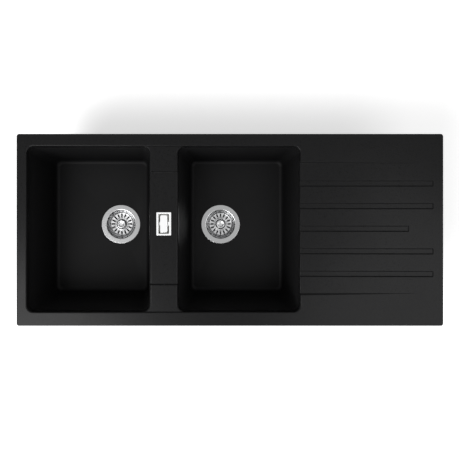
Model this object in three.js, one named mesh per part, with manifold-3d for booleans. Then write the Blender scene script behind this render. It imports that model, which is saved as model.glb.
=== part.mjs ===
// Double bowl kitchen sink with a drainer: a moulded composite body, a basket strainer waste in
// each bowl, an overflow in the divider and screw clips for a worktop cut-out.
// Millimetres, +Z up, +X towards the drainer, +Y towards the wall behind the sink. The origin is
// the centre of the outline, in the plane where the rim rests on the worktop.
import * as THREE from 'three';
import { mergeVertices } from 'three/addons/utils/BufferGeometryUtils.js';
import Module from 'manifold-3d';

const wasm = await Module();
wasm.setup();

const CLEARANCE = 0.3; // running or seating gap between two pieces
const PAST = 1; // how far a cutter runs on past the surface that it opens

// ---- Outline and rim
const LENGTH = 1160;
const WIDTH = 522;
const OUTLINE_CORNER = 7;
const RIM_HEIGHT = 9;
const RIM_EDGE = 2.5; // rounding of the outer top edge
const LEFT_RIM = 27;
const BACK_RIM = 33;
const FRONT_RIM = 37;

// ---- Bowls
const BOWL_LENGTH = 335; // along X, each
const DIVIDER_WIDTH = 75;
const BOWL_DEPTH = 200; // rim to floor
const BOWL_CORNER = 20;
const CORNER_EASE = 0.8; // how much faster than the floor's fillet a corner tightens
const BOWL_DRAFT = 0.13; // how far a wall leans in for each millimetre of depth
const BOWL_LIP = 2.5; // rounding where the rim turns down into a bowl
const FLOOR_FILLET = 12;
const FLOOR_FALL = 3; // how far the floor drops towards the drain
const WALL = 8;
const OUTER_FILLET = 18;

// ---- Divider between the bowls
const LANDING_DROP = 5; // tap landings below the rim
const SADDLE_DROP = 5; // middle of the divider below the tap landings
const BACK_LANDING = 67;
const FRONT_LANDING = 72;
const DIVIDER_LIP = 5; // rounding of the divider's long edges
const SADDLE_RAMP = 5; // length of the step down to the middle
const TAP_HOLE = 35; // blind tap holes, opened from below when a tap is fitted
const TAP_HOLE_SKIN = 5;
const TAP_HOLE_INSET = 36; // from the end of a landing to the tap hole's centre

// ---- Drainer
const FIELD_END = 62; // from the end of the sloping field to the outline
const FIELD_BACK_MARGIN = 81;
const FIELD_FRONT_MARGIN = 89;
const FIELD_DROP = 6; // depth of the field where it runs into the bowl
const FIELD_SIDE = 6.5; // run of the field's rounded sides at the bowl; it shrinks with their depth
const FIELD_SIDE_END = 0.1; // share of that run which is left at the far end
const GROOVE_COUNT = 5;
const GROOVE_PITCH = 61.5;
const GROOVE_WIDTH = 16;
const GROOVE_FLOOR_WIDTH = 12;
const GROOVE_DEPTH = 3;
const GROOVE_END = 27; // from the end of a long groove to the outline
const SHORT_GROOVE_END = 93; // the same for the middle groove
const GROOVE_OFFSET = 3; // middle groove from the centre line, towards the wall
const DRAINER_PLATE = 8; // thickness left under a groove

// ---- Underside
const CUT_OUT_OVERLAP = 10; // rim resting on the worktop around the cut-out
const TRAY_GAP = 4; // stiffening tray inside the cut-out
const TRAY_DEPTH = 12;
const TRAY_SKIRT = 10;
const TRAY_DRAFT = 1;

// ---- Strainer waste, its sizes measured from the recess in the bowl's floor
const LEFT_DRAIN_OFFSET = 55; // from the middle of a bowl towards the divider
const RIGHT_DRAIN_OFFSET = 49;
const DRAIN_FORWARD = 4; // from the middle of a bowl towards the wall
const CUP_MOUTH = 87;
const CUP_BOTTOM = 68;
const CUP_DEPTH = 28;
const CUP_BEND = 3; // bends at the cup's mouth and at its floor
const SHEET = 1.2;
const FLANGE_WIDTH = 15.5; // from the cup's mouth to the edge of its flange
const FLANGE_GAP = 1; // between the flange and the wall of its recess
const RECESS_DEPTH = 2.5;
const HOLE_GAP = 0.8; // between the cup and the hole in the floor
const SEAL_THICKNESS = 1;
const SEAL_INSET = 2; // seal from the flange's edge and from the floor's hole
const SUMP_DIAMETER = 36;
const SUMP_DEPTH = 5;
const SUMP_BEND = 1;
const SUMP_WINDOWS = 4;
const SUMP_WEB = 5; // spokes left between the windows
const SCREW_HOLE = 6.6;
const SCREW_DIAMETER = 6;
const SCREW_HEAD = 10;
const SCREW_HEAD_HEIGHT = 3;
const GASKET_THICKNESS = 3;
const GASKET_WIDTH = 10;
const WASTE_FLANGE = 4;
const WASTE_WALL = 3;
const WASTE_DIAMETER = 98;
const WASTE_TAPER = 3; // how far its wall leans in down to the funnel
const WASTE_DEPTH = 44; // below the recess, down to the funnel
const FUNNEL_HEIGHT = 14;
const OUTLET_DIAMETER = 46;
const OUTLET_LENGTH = 30;
const OUTLET_WALL = 3.5;
const BOSS_DIAMETER = 14;
const BOSS_HEIGHT = 16;

// ---- Lift-out basket
const BASKET_SLOTS = 16;
const SLOT_INNER = 20; // radius at the inner end of a slot
const SLOT_OUTER = 33;
const SLOT_WIDTH = 5;
const SLOT_MARGIN = 1; // flat sheet left outside the slots
const BASKET_SHEET = 1.4;
const BASKET_TOP = 11; // rim of the basket below the recess
const BASKET_DISH = 5; // slotted plate below that rim
const HUB_DROP = 1; // middle of the plate below its slotted part
const HUB_RING = 34; // diameter of the raised ring, at its crest
const HUB_RING_WIDTH = 3;
const HUB_RING_HEIGHT = 3;
const STEM_DIAMETER = 14;
const PLUG_DIAMETER = 46;
const PLUG_THICKNESS = 2.5;
const PLUG_SEAL_DIAMETER = 52;
const PLUG_SEAL_THICKNESS = 2;
const KNOB_DIAMETER = 25;
const KNOB_HEIGHT = 14;
const KNOB_STEM = 9;
const KNOB_SHOULDER = 1; // foot of the knob wider than its stem
const KNOB_SOCKET = 4; // depth of its stem in the basket
const KNOB_EDGE = 2; // rounding of its rim
const KNOB_DISH = 1.6; // middle of its top below the rim

// ---- Overflow in the divider
const OVERFLOW_FORWARD = 16; // centre from the sink's centre line, towards the wall
const FRAME_LENGTH = 63; // along Y
const FRAME_WIDTH = 40;
const FRAME_THICKNESS = 2.5;
const FRAME_EDGE = 0.6; // bevel of its top edges
const MOUTH_LENGTH = 54;
const MOUTH_WIDTH = 29;
const MOUTH_TAPER = 2; // each side of the mouth leans in by this much
const SKIRT_DEPTH = 14; // below the divider's top
const SKIRT_WALL = 1.2;
const COVER_LENGTH = 47;
const COVER_WIDTH = 19.5;
const COVER_CORNER = 3.6;
const COVER_THICKNESS = 2;
const COVER_EDGE = 0.5; // bevel of its top edge
const COVER_SINK = 0.8; // cover below the frame's top
const COVER_LEG = 1.6;
const COVER_LEG_WIDTH = 8;
const BRIDGE_WIDTH = 10;
const BRIDGE_THICKNESS = 3;
const HOUSING_ROOM = 2; // inside of the housing wider than the mouth, on each side
const HOUSING_FLANGE = 4;
const HOUSING_DEPTH = 30;
const HOUSING_WALL = 2.5;
const HOUSING_CORNER = 3;
const HOUSING_FUNNEL = 10; // height of its sloping floor
const HOUSING_GASKET = 2;
const OVERFLOW_BOSS = 10;
const OVERFLOW_BOSS_DEPTH = 16; // below the housing's top
const OVERFLOW_SCREW = 4;
const OVERFLOW_SCREW_DEPTH = 14; // end of the screw below the housing's top
const OVERFLOW_HEAD = 8;
const OVERFLOW_HEAD_HEIGHT = 2.4;
const SPIGOT_DIAMETER = 17;
const SPIGOT_BORE = 12;
const SPIGOT_LENGTH = 22;

// ---- Overflow hose
const HOSE_BORE = 17.8;
const HOSE_VALLEY = 20.6; // outer diameter between two ribs
const HOSE_CREST = 24;
const HOSE_RIB_PITCH = 4.4;
const HOSE_BEND = 48; // radius of its bend
const HOSE_CUFF = 20; // plain end that a hose clip holds
const HOSE_SIDES = 8;
const HOSE_STOP = 2; // from a hose end to the shoulder of its spigot
const INLET_DEPTH = 29; // waste inlet below the recess
const INLET_LENGTH = 27; // how far it stands out of the waste
const INLET_COLLAR = 3; // shoulder that the hose stops short of
const BAND_WIDTH = 9;
const BAND_THICKNESS = 1;
const BAND_HOUSING = 6; // height of its worm housing
const BAND_HOUSING_LENGTH = 14;
const BAND_SCREW = 6.4;
const BAND_SCREW_HEAD = 4;

// ---- Worktop clips
const WORKTOP = 38;
const CLIPS_PER_SIDE = 4;
const CLIP_END_INSET = 150; // first and last clip from the ends of the outline
const CLIP_INSET = 19; // screw axis from the outline
const LUG_WIDTH = 24;
const LUG_DEPTH = 20; // underside of a lug below the worktop's top
const LUG_REACH = 16; // how far a lug runs inwards from its screw
const LUG_GAP = 3; // outer face of a lug inside the cut-out
const LUG_CORNER = 3;
const INSERT_DIAMETER = 8;
const INSERT_LENGTH = 13;
const INSERT_BORE = 5.6;
const CLIP_SCREW = 5;
const CLIP_HEAD = 9;
const CLIP_HEAD_HEIGHT = 3;
const CLAW_WIDTH = 12;
const CLAW_SHEET = 2;
const CLAW_HEEL = 6.6; // heel of the claw from the screw axis
const CLAW_TOE = 19; // toe of the claw from the screw axis
const CLAW_LIP = 6; // height of the toe

// ---- Facets
const CORNER_STEPS = 4;
const EDGE_STEPS = 3;
const RAMP_STEPS = 4;
const BEND_STEPS = 12;
const BORE_STEP = 5; // ribs of the hose from one ring of its bore to the next
const ROUND_SIDES = 32;
const HIDDEN_SIDES = 24;
const FITTING_SIDES = 16;
const SMALL_SIDES = 12;
const SCREW_SIDES = 8;
const LEAST_STEP = 0.05; // nearer heights than this count as one
const LEAST_CORNER = 0.5;

// ---- Places worked out from the sizes above
const RIM_TOP = RIM_HEIGHT;
const FLOOR = RIM_TOP - BOWL_DEPTH;
const RECESS = FLOOR - FLOOR_FALL - RECESS_DEPTH; // ring that carries the strainer's flange
const UNDERSIDE = RECESS - WALL;
const LANDING = RIM_TOP - LANDING_DROP;
const SADDLE = LANDING - SADDLE_DROP;
const BACK_WALL = WIDTH / 2 - BACK_RIM;
const FRONT_WALL = FRONT_RIM - WIDTH / 2;
const LEFT_BOWL = { x0: LEFT_RIM - LENGTH / 2, x1: LEFT_RIM - LENGTH / 2 + BOWL_LENGTH };
const RIGHT_BOWL = { x0: LEFT_BOWL.x1 + DIVIDER_WIDTH, x1: LEFT_BOWL.x0 + DIVIDER_WIDTH + 2 * BOWL_LENGTH };
const DIVIDER_X = LEFT_BOWL.x1 + DIVIDER_WIDTH / 2;
const MIDDLE_Y = (BACK_WALL + FRONT_WALL) / 2;
const DRAIN_Y = MIDDLE_Y + DRAIN_FORWARD;
const LEFT_DRAIN_X = (LEFT_BOWL.x0 + LEFT_BOWL.x1) / 2 + LEFT_DRAIN_OFFSET;
const RIGHT_DRAIN_X = (RIGHT_BOWL.x0 + RIGHT_BOWL.x1) / 2 - RIGHT_DRAIN_OFFSET;
const FLANGE_RADIUS = CUP_MOUTH / 2 + FLANGE_WIDTH;
const HOLE_RADIUS = CUP_MOUTH / 2 + SHEET + HOLE_GAP;

// ---- Materials
const surface = (color, roughness, metalness) =>
  new THREE.MeshStandardMaterial({ color, roughness, metalness });
const COMPOSITE = surface(0x1d1d1f, 0.55, 0);
const BRUSHED = surface(0xc4c6c8, 0.35, 1);
const POLISHED = surface(0xe6e8ea, 0.12, 1);
const RUBBER = surface(0x1a1a1a, 0.85, 0);
const PLASTIC = surface(0xe8e8e4, 0.5, 0);
const ZINC = surface(0xb4b8bb, 0.4, 1);
const NYLON = surface(0x8d9194, 0.6, 0);

// ---- Solids

/** A closed geometry as a solid, with its faces turned outwards. */
function solid(geometry) {
  const bare = geometry.clone();
  bare.deleteAttribute('normal');
  bare.deleteAttribute('uv');
  const merged = mergeVertices(bare, 1e-4);
  const position = merged.attributes.position;
  const index = merged.index.array;
  const corner = [new THREE.Vector3(), new THREE.Vector3(), new THREE.Vector3()];
  const faces = [];
  let volume = 0;
  for (let i = 0; i < index.length; i += 3) {
    const face = [index[i], index[i + 1], index[i + 2]];
    if (new Set(face).size < 3) continue; // the folded faces at a pole
    face.forEach((vertex, k) => corner[k].fromBufferAttribute(position, vertex));
    volume += corner[0].dot(corner[1].cross(corner[2]));
    faces.push(face);
  }
  if (volume < 0) faces.forEach((face) => face.reverse());
  const mesh = { numProp: 3, vertProperties: position.array, triVerts: new Uint32Array(faces.flat()) };
  return new wasm.Manifold(new wasm.Mesh(mesh));
}

/** A point [x, y, z] seen along one axis. */
const dropped = (point, axis) => new THREE.Vector2(point[(axis + 1) % 3], point[(axis + 2) % 3]);

/** Signed area of a flat outline. */
const flatArea = (outlinePoints) => THREE.ShapeUtils.area(outlinePoints);

/** A body through a row of rings, each a list of [x, y, z] with the same number of points. */
function loft(rings) {
  const sides = rings[0].length;
  const points = rings.flat();
  const index = [];
  for (let ring = 0; ring + 1 < rings.length; ring += 1) {
    for (let i = 0; i < sides; i += 1) {
      const a = ring * sides + i;
      const b = ring * sides + ((i + 1) % sides);
      index.push(a, b, b + sides, a, b + sides, a + sides);
    }
  }
  const cap = (first, turn) => {
    const ring = points.slice(first, first + sides);
    const area = [0, 1, 2].map((axis) => flatArea(ring.map((point) => dropped(point, axis))));
    const facing = area.map(Math.abs).indexOf(Math.max(...area.map(Math.abs)));
    const flat = ring.map((point) => dropped(point, facing));
    for (const face of THREE.ShapeUtils.triangulateShape(flat, [])) {
      const along = flatArea(face.map((i) => flat[i])) * area[facing] > 0;
      if (along === turn) face.reverse();
      index.push(...face.map((i) => first + i));
    }
  };
  const last = (rings.length - 1) * sides;
  cap(0, true);
  cap(last, false);
  const geometry = new THREE.BufferGeometry();
  geometry.setAttribute('position', new THREE.Float32BufferAttribute(points.flat(), 3));
  geometry.setIndex(index);
  return solid(geometry);
}

/** A profile of [radius, z] points turned about the Z axis. */
function revolve(profile, sides = ROUND_SIDES) {
  const points = profile.map(([radius, z]) => new THREE.Vector2(radius, z));
  if (profile[0][0] > 0) points.push(points[0].clone());
  return solid(new THREE.LatheGeometry(points, sides).rotateX(Math.PI / 2));
}

/** A flat ring between two radii and two heights. */
function ring(inner, outer, bottom, top, sides = ROUND_SIDES) {
  return revolve([[inner, bottom], [outer, bottom], [outer, top], [inner, top]], sides);
}

/** A plain round bar along Z. */
function bar(radius, bottom, top, sides = SMALL_SIDES) {
  return revolve([[0, bottom], [radius, bottom], [radius, top], [0, top]], sides);
}

/** A box from its lowest to its highest corner. */
function block(low, high) {
  const size = high.map((value, k) => value - low[k]);
  const geometry = new THREE.BoxGeometry(...size);
  return solid(geometry.translate(...low.map((value, k) => value + size[k] / 2)));
}

/** The outline [x, y, z] of a rectangle with rounded corners. */
function roundedRectangle({ x0, x1, y0, y1, radius }, z, steps = CORNER_STEPS) {
  const points = [];
  const centres = [[x1, y1, -1, -1], [x0, y1, 1, -1], [x0, y0, 1, 1], [x1, y0, -1, 1]];
  centres.forEach(([x, y, signX, signY], quarter) => {
    for (let i = 0; i <= steps; i += 1) {
      const angle = ((quarter + i / steps) * Math.PI) / 2;
      points.push([
        x + radius * (signX + Math.cos(angle)),
        y + radius * (signY + Math.sin(angle)),
        z,
      ]);
    }
  });
  return points;
}

/** A rectangle grown outwards by a distance, negative to shrink it. */
function grown({ x0, x1, y0, y1, radius = 0 }, by, radiusBy = by) {
  const corner = Math.max(radius + radiusBy, LEAST_CORNER);
  return { x0: x0 - by, x1: x1 + by, y0: y0 - by, y1: y1 + by, radius: corner };
}

/** How far a rounded edge still stands off its wall at a distance from the edge's far side. */
function edge(distance, radius) {
  if (distance <= 0) return radius;
  if (distance >= radius) return 0;
  return radius - Math.sqrt(radius ** 2 - (radius - distance) ** 2);
}

/** Distances at equal angles round a quarter circle, from 0 to its radius. */
function quarter(radius, steps = EDGE_STEPS) {
  const angle = Math.PI / 2 / steps;
  return Array.from({ length: steps + 1 }, (_, i) => radius * (1 - Math.cos(i * angle)));
}

/** Values without near repeats, from the highest down. */
function descending(values) {
  const sorted = [...values].sort((a, b) => b - a);
  return sorted.filter((value, i) => i === 0 || sorted[i - 1] - value > LEAST_STEP);
}

const group = new THREE.Group();

/** Adds one named piece to its parent. */
function add(parent, name, body, material) {
  const { vertProperties, triVerts } = body.getMesh();
  const geometry = new THREE.BufferGeometry();
  geometry.setAttribute('position', new THREE.BufferAttribute(vertProperties, 3));
  geometry.setIndex(new THREE.BufferAttribute(triVerts, 1));
  const flat = geometry.toNonIndexed();
  flat.computeVertexNormals();
  const mesh = new THREE.Mesh(flat, material);
  mesh.name = name;
  parent.add(mesh);
  return mesh;
}

// ---- Sink body

const outline = {
  x0: -LENGTH / 2,
  x1: LENGTH / 2,
  y0: -WIDTH / 2,
  y1: WIDTH / 2,
  radius: OUTLINE_CORNER,
};

/** How far a bowl's wall has leaned in at a height. */
const leanAt = (z) => BOWL_DRAFT * (RIM_TOP - z);

/** The rim plate, rounded along its top edge. */
function rimPlate() {
  const heights = [0, ...quarter(RIM_EDGE).reverse().map((drop) => RIM_TOP - drop)];
  return loft(heights.map((z) => {
    const inset = edge(RIM_TOP - z, RIM_EDGE);
    return roundedRectangle(grown(outline, -inset, -inset), z);
  }));
}

/** The tray under the rim that drops into the worktop's cut-out. */
function tray() {
  const top = grown(outline, -CUT_OUT_OVERLAP - TRAY_GAP, 0);
  return loft([
    roundedRectangle(grown(top, -TRAY_DRAFT, 0), -TRAY_DEPTH),
    roundedRectangle(top, PAST),
  ]);
}

/** The outside of one bowl, a wall thickness from its inside. */
function bowlShell({ x0, x1 }) {
  const mouth = grown({ x0, x1, y0: FRONT_WALL, y1: BACK_WALL, radius: BOWL_CORNER }, WALL);
  const foot = quarter(OUTER_FILLET).reverse().map((rise) => UNDERSIDE + rise);
  return loft([PAST, ...foot].map((z) => {
    const turn = edge(z - UNDERSIDE, OUTER_FILLET);
    return roundedRectangle(grown(mouth, -leanAt(z) - turn, -turn), z);
  }));
}

/** The space inside one bowl; dividerSide is 1 where the divider is on its right, else -1. */
function bowlSpace({ x0, x1 }, dividerSide, drainX) {
  const heights = descending([
    RIM_TOP + PAST,
    ...quarter(BOWL_LIP).map((drop) => RIM_TOP - drop),
    ...quarter(DIVIDER_LIP).map((drop) => LANDING - drop),
    ...quarter(FLOOR_FILLET).map((rise) => FLOOR + rise),
  ]);
  const rings = heights.map((z) => {
    const turn = edge(z - FLOOR, FLOOR_FILLET);
    const inset = leanAt(z) + turn - edge(RIM_TOP - z, BOWL_LIP);
    const flare = edge(LANDING - z, DIVIDER_LIP) - edge(RIM_TOP - z, BOWL_LIP);
    return roundedRectangle({
      x0: x0 + inset - (dividerSide < 0 ? flare : 0),
      x1: x1 - inset + (dividerSide > 0 ? flare : 0),
      y0: FRONT_WALL + inset,
      y1: BACK_WALL - inset,
      radius: BOWL_CORNER - CORNER_EASE * turn,
    }, z);
  });
  const count = rings[0].length;
  const radius = FLANGE_RADIUS + FLANGE_GAP;
  rings.push(Array.from({ length: count }, (_, i) => {
    const angle = ((i + 0.5) / count) * 2 * Math.PI;
    const [across, forward] = [radius * Math.cos(angle), radius * Math.sin(angle)];
    return [drainX + across, DRAIN_Y + forward, FLOOR - FLOOR_FALL];
  }));
  return loft(rings);
}

/** The recess and the hole in a bowl's floor that take the strainer. */
function drainSpace(drainX) {
  const recess = bar(FLANGE_RADIUS + FLANGE_GAP, RECESS, FLOOR, ROUND_SIDES);
  const hole = bar(HOLE_RADIUS, UNDERSIDE - PAST, FLOOR, ROUND_SIDES);
  return recess.add(hole).translate([drainX, DRAIN_Y, 0]);
}

/** The space over the tap landings, level with the bowls' end walls. */
function landingSpace() {
  const lip = quarter(BOWL_LIP).map((drop) => RIM_TOP - drop);
  const heights = descending([RIM_TOP + PAST, ...lip, LANDING]);
  const reach = BOWL_CORNER + DIVIDER_LIP;
  const section = (x) => {
    const inset = (z) => leanAt(z) - edge(RIM_TOP - z, BOWL_LIP);
    const back = heights.map((z) => [x, BACK_WALL - inset(z), z]);
    const front = heights.map((z) => [x, FRONT_WALL + inset(z), z]).reverse();
    return [...back, ...front];
  };
  return loft([section(LEFT_BOWL.x1 - reach), section(RIGHT_BOWL.x0 + reach)]);
}

/** The lower middle of the divider, rounded over into both bowls and ramped at both ends. */
function saddleSpace() {
  const drops = quarter(DIVIDER_LIP);
  const section = (y, top) => {
    const left = drops.map((drop) => [
      LEFT_BOWL.x1 - leanAt(top - drop) + edge(drop, DIVIDER_LIP), y, top - drop,
    ]);
    const right = drops.map((drop) => [
      RIGHT_BOWL.x0 + leanAt(top - drop) - edge(drop, DIVIDER_LIP), y, top - drop,
    ]);
    const low = top - DIVIDER_LIP;
    const out = BOWL_CORNER;
    return [
      [LEFT_BOWL.x1 - out, y, RIM_TOP + PAST],
      [LEFT_BOWL.x1 - out, y, low],
      ...left.reverse(),
      ...right,
      [RIGHT_BOWL.x0 + out, y, low],
      [RIGHT_BOWL.x0 + out, y, RIM_TOP + PAST],
    ];
  };
  const ramp = Array.from({ length: RAMP_STEPS }, (_, i) => {
    const share = (i + 1) / RAMP_STEPS;
    return [share * SADDLE_RAMP, LANDING - (SADDLE_DROP * (1 - Math.cos(Math.PI * share))) / 2];
  });
  ramp.unshift([-PAST / 2, LANDING + PAST / 2]);
  const back = BACK_WALL - BACK_LANDING;
  const front = FRONT_WALL + FRONT_LANDING;
  return loft([
    ...ramp.map(([run, top]) => section(back - run, top)),
    ...ramp.reverse().map(([run, top]) => section(front + run, top)),
  ]);
}

const fieldEnd = LENGTH / 2 - FIELD_END;
const fieldBack = WIDTH / 2 - FIELD_BACK_MARGIN;
const fieldFront = FIELD_FRONT_MARGIN - WIDTH / 2;

/** Height of the drainer's sloping field; a share of 1 is its full depth. */
function fieldAt(x, share = 1) {
  const slope = FIELD_DROP / (fieldEnd - RIGHT_BOWL.x1);
  return RIM_TOP - share * slope * Math.max(0, fieldEnd - x);
}

/** The sloping field of the drainer, rounded over into the right bowl and fading out at its end. */
function fieldSpace() {
  const beyond = GROOVE_PITCH / 2;
  const rise = (FIELD_DROP * beyond) / (fieldEnd - RIGHT_BOWL.x1);
  const shrink = (1 - FIELD_SIDE_END) / (fieldEnd + beyond - RIGHT_BOWL.x1);
  const section = (foot, out, share) => {
    const at = (x, z) => [x, foot + out * (1 - shrink * (x - RIGHT_BOWL.x1)), z];
    const top = fieldAt(RIGHT_BOWL.x1, share);
    const turn = quarter(BOWL_LIP).map((drop) =>
      at(RIGHT_BOWL.x1 - leanAt(top - drop) + edge(drop, BOWL_LIP), top - drop));
    return [
      at(fieldEnd + beyond, RIM_TOP + rise + PAST),
      at(fieldEnd + beyond, RIM_TOP + rise),
      ...turn,
      at(RIGHT_BOWL.x1 - BOWL_CORNER, top - BOWL_LIP),
      at(RIGHT_BOWL.x1 - BOWL_CORNER, RIM_TOP + rise + PAST),
    ];
  };
  const side = [-PAST / FIELD_SIDE, 1 / 3, 2 / 3, 1].map((run) =>
    [(1 - run) * FIELD_SIDE, run < 0 ? run / 2 : (1 - Math.cos(Math.PI * run)) / 2]);
  return loft([
    ...side.map(([out, share]) => section(fieldBack, out, share)),
    ...side.reverse().map(([out, share]) => section(fieldFront, -out, share)),
  ]);
}

/** One draining groove, with sloping sides and end, rounded over into the right bowl. */
function grooveSpace(y, end) {
  const slope = (GROOVE_WIDTH - GROOVE_FLOOR_WIDTH) / (2 * GROOVE_DEPTH);
  const section = (x, floor) => {
    const half = GROOVE_FLOOR_WIDTH / 2;
    const rise = GROOVE_DEPTH + PAST;
    const wide = half + slope * rise;
    const low = [[x, y - half, floor], [x, y + half, floor]];
    return [...low, [x, y + wide, floor + rise], [x, y - wide, floor + rise]];
  };
  const lip = fieldAt(RIGHT_BOWL.x1) - GROOVE_DEPTH;
  const turn = quarter(BOWL_LIP).reverse().map((drop) =>
    section(RIGHT_BOWL.x1 - leanAt(lip - drop) + edge(drop, BOWL_LIP), lip - drop));
  const run = slope * GROOVE_DEPTH;
  const tail = [[end - run, -GROOVE_DEPTH], [end, 0], [end + slope * PAST, PAST]];
  return loft([
    section(RIGHT_BOWL.x1 - BOWL_CORNER, lip - BOWL_LIP),
    ...turn,
    ...(fieldEnd < end - run ? [section(fieldEnd, fieldAt(fieldEnd) - GROOVE_DEPTH)] : []),
    ...tail.map(([x, depth]) => section(x, fieldAt(x) + depth)),
  ]);
}

/** The hollow under the drainer, its ceiling parallel to the grooves. */
function drainerHollow() {
  const inset = CUT_OUT_OVERLAP + TRAY_GAP + TRAY_SKIRT;
  const plan = {
    x0: RIGHT_BOWL.x1 + WALL + TRAY_SKIRT,
    x1: LENGTH / 2 - inset,
    y0: inset - WIDTH / 2,
    y1: WIDTH / 2 - inset,
    radius: BOWL_CORNER,
  };
  const ceiling = roundedRectangle(grown(plan, -TRAY_DRAFT, 0), 0).map(([x, y]) =>
    [x, y, fieldAt(x) - GROOVE_DEPTH - DRAINER_PLATE]);
  return loft([roundedRectangle(plan, -TRAY_DEPTH - PAST), ceiling]);
}

const insertEnd = INSERT_LENGTH - LUG_DEPTH;
const clipY = WIDTH / 2 - CLIP_INSET;
const clipXs = Array.from({ length: CLIPS_PER_SIDE }, (_, i) =>
  (LENGTH / 2 - CLIP_END_INSET) * ((2 * i) / (CLIPS_PER_SIDE - 1) - 1));

/** The moulded lug that takes a clip's insert; side is 1 at the back and -1 at the front. */
function lug(x, side) {
  const outer = side * (WIDTH / 2 - CUT_OUT_OVERLAP - LUG_GAP);
  const inner = side * (clipY - LUG_REACH);
  const top = {
    x0: x - LUG_WIDTH / 2,
    x1: x + LUG_WIDTH / 2,
    y0: Math.min(outer, inner),
    y1: Math.max(outer, inner),
    radius: LUG_CORNER,
  };
  return loft([
    roundedRectangle(grown(top, -TRAY_DRAFT, 0), -LUG_DEPTH, 2),
    roundedRectangle(top, PAST, 2),
  ]);
}

function sinkBody() {
  let body = rimPlate().add(tray()).subtract(drainerHollow());
  body = body.add(bowlShell(LEFT_BOWL)).add(bowlShell(RIGHT_BOWL));
  const clips = clipXs.flatMap((x) => [[x, 1], [x, -1]]);
  for (const [x, side] of clips) body = body.add(lug(x, side));
  const insertHole = bar(INSERT_DIAMETER / 2 + CLEARANCE, -LUG_DEPTH - PAST, insertEnd + CLEARANCE);
  for (const [x, side] of clips) body = body.subtract(insertHole.translate([x, side * clipY, 0]));
  const leftBowl = bowlSpace(LEFT_BOWL, 1, LEFT_DRAIN_X);
  const bowls = leftBowl.add(bowlSpace(RIGHT_BOWL, -1, RIGHT_DRAIN_X));
  body = body.subtract(bowls.add(landingSpace())).subtract(saddleSpace()).subtract(fieldSpace());
  for (let i = 0; i < GROOVE_COUNT; i += 1) {
    const middle = (GROOVE_COUNT - 1) / 2;
    const end = LENGTH / 2 - (i === middle ? SHORT_GROOVE_END : GROOVE_END);
    body = body.subtract(grooveSpace(GROOVE_OFFSET + (i - middle) * GROOVE_PITCH, end));
  }
  body = body.subtract(drainSpace(LEFT_DRAIN_X)).subtract(drainSpace(RIGHT_DRAIN_X));
  const tapHole = bar(TAP_HOLE / 2, -TRAY_DEPTH - PAST, LANDING - TAP_HOLE_SKIN, FITTING_SIDES);
  for (const y of [BACK_WALL - TAP_HOLE_INSET, FRONT_WALL + TAP_HOLE_INSET]) {
    body = body.subtract(tapHole.translate([DIVIDER_X, y, 0]));
  }
  const through = overflowOutline(MOUTH_WIDTH, MOUTH_LENGTH, SKIRT_WALL + 2 * CLEARANCE);
  return body.subtract(loft([
    roundedRectangle(through, -TRAY_DEPTH - PAST, 1),
    roundedRectangle(through, SADDLE + PAST, 1),
  ]));
}

// ---- Strainer wastes

const flangeTop = SEAL_THICKNESS + 2 * CLEARANCE + SHEET; // above the recess
const cupFloor = -CUP_DEPTH;
const sumpFloor = cupFloor - SUMP_DEPTH;
const gasketTop = -WALL - CLEARANCE;
const wasteTop = gasketTop - GASKET_THICKNESS - CLEARANCE;
const bossTop = sumpFloor - SHEET - CLEARANCE;

/** Inner radius of the cup's sloping wall at a height. */
function cupWallAt(z) {
  const [high, low] = [flangeTop - CUP_BEND, cupFloor + CUP_BEND];
  return CUP_BOTTOM / 2 + ((CUP_MOUTH - CUP_BOTTOM) / 2) * ((z - low) / (high - low));
}

/** The pressed cup with its flange, its sump and the windows that drain it. */
function strainerCup() {
  const mouth = CUP_MOUTH / 2;
  const bottom = CUP_BOTTOM / 2;
  const sump = SUMP_DIAMETER / 2;
  const bend = CUP_BEND;
  const inside = [
    [FLANGE_RADIUS, flangeTop - SHEET],
    [FLANGE_RADIUS - SHEET / 2, flangeTop],
    [mouth + bend, flangeTop],
    [mouth + bend * (1 - Math.SQRT1_2), flangeTop - bend * (1 - Math.SQRT1_2)],
    [mouth, flangeTop - bend],
    [bottom, cupFloor + bend],
    [bottom - bend, cupFloor],
    [sump + SUMP_BEND, cupFloor],
    [sump, cupFloor - SUMP_BEND],
    [sump, sumpFloor],
    [SCREW_HOLE / 2, sumpFloor],
  ];
  const outside = [
    [SCREW_HOLE / 2, sumpFloor - SHEET],
    [sump + SHEET, sumpFloor - SHEET],
    [sump + SHEET, cupFloor - SHEET],
    [bottom - bend + SHEET, cupFloor - SHEET],
    [bottom + SHEET, cupFloor + bend - SHEET / 2],
    [mouth + SHEET, flangeTop - bend],
    [mouth + bend, flangeTop - SHEET],
  ];
  const cup = revolve([...inside, ...outside]);
  const [low, high] = [sumpFloor - SHEET - PAST, sumpFloor + PAST];
  const windows = ring(BOSS_DIAMETER / 2 + SUMP_BEND, sump - SHEET, low, high, HIDDEN_SIDES);
  let spokes = block([-sump, -SUMP_WEB / 2, low - PAST], [sump, SUMP_WEB / 2, high + PAST]);
  for (let i = 1; i < SUMP_WINDOWS / 2; i += 1) {
    spokes = spokes.add(spokes.rotate([0, 0, (360 * i) / SUMP_WINDOWS]));
  }
  return cup.subtract(windows.subtract(spokes));
}

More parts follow.
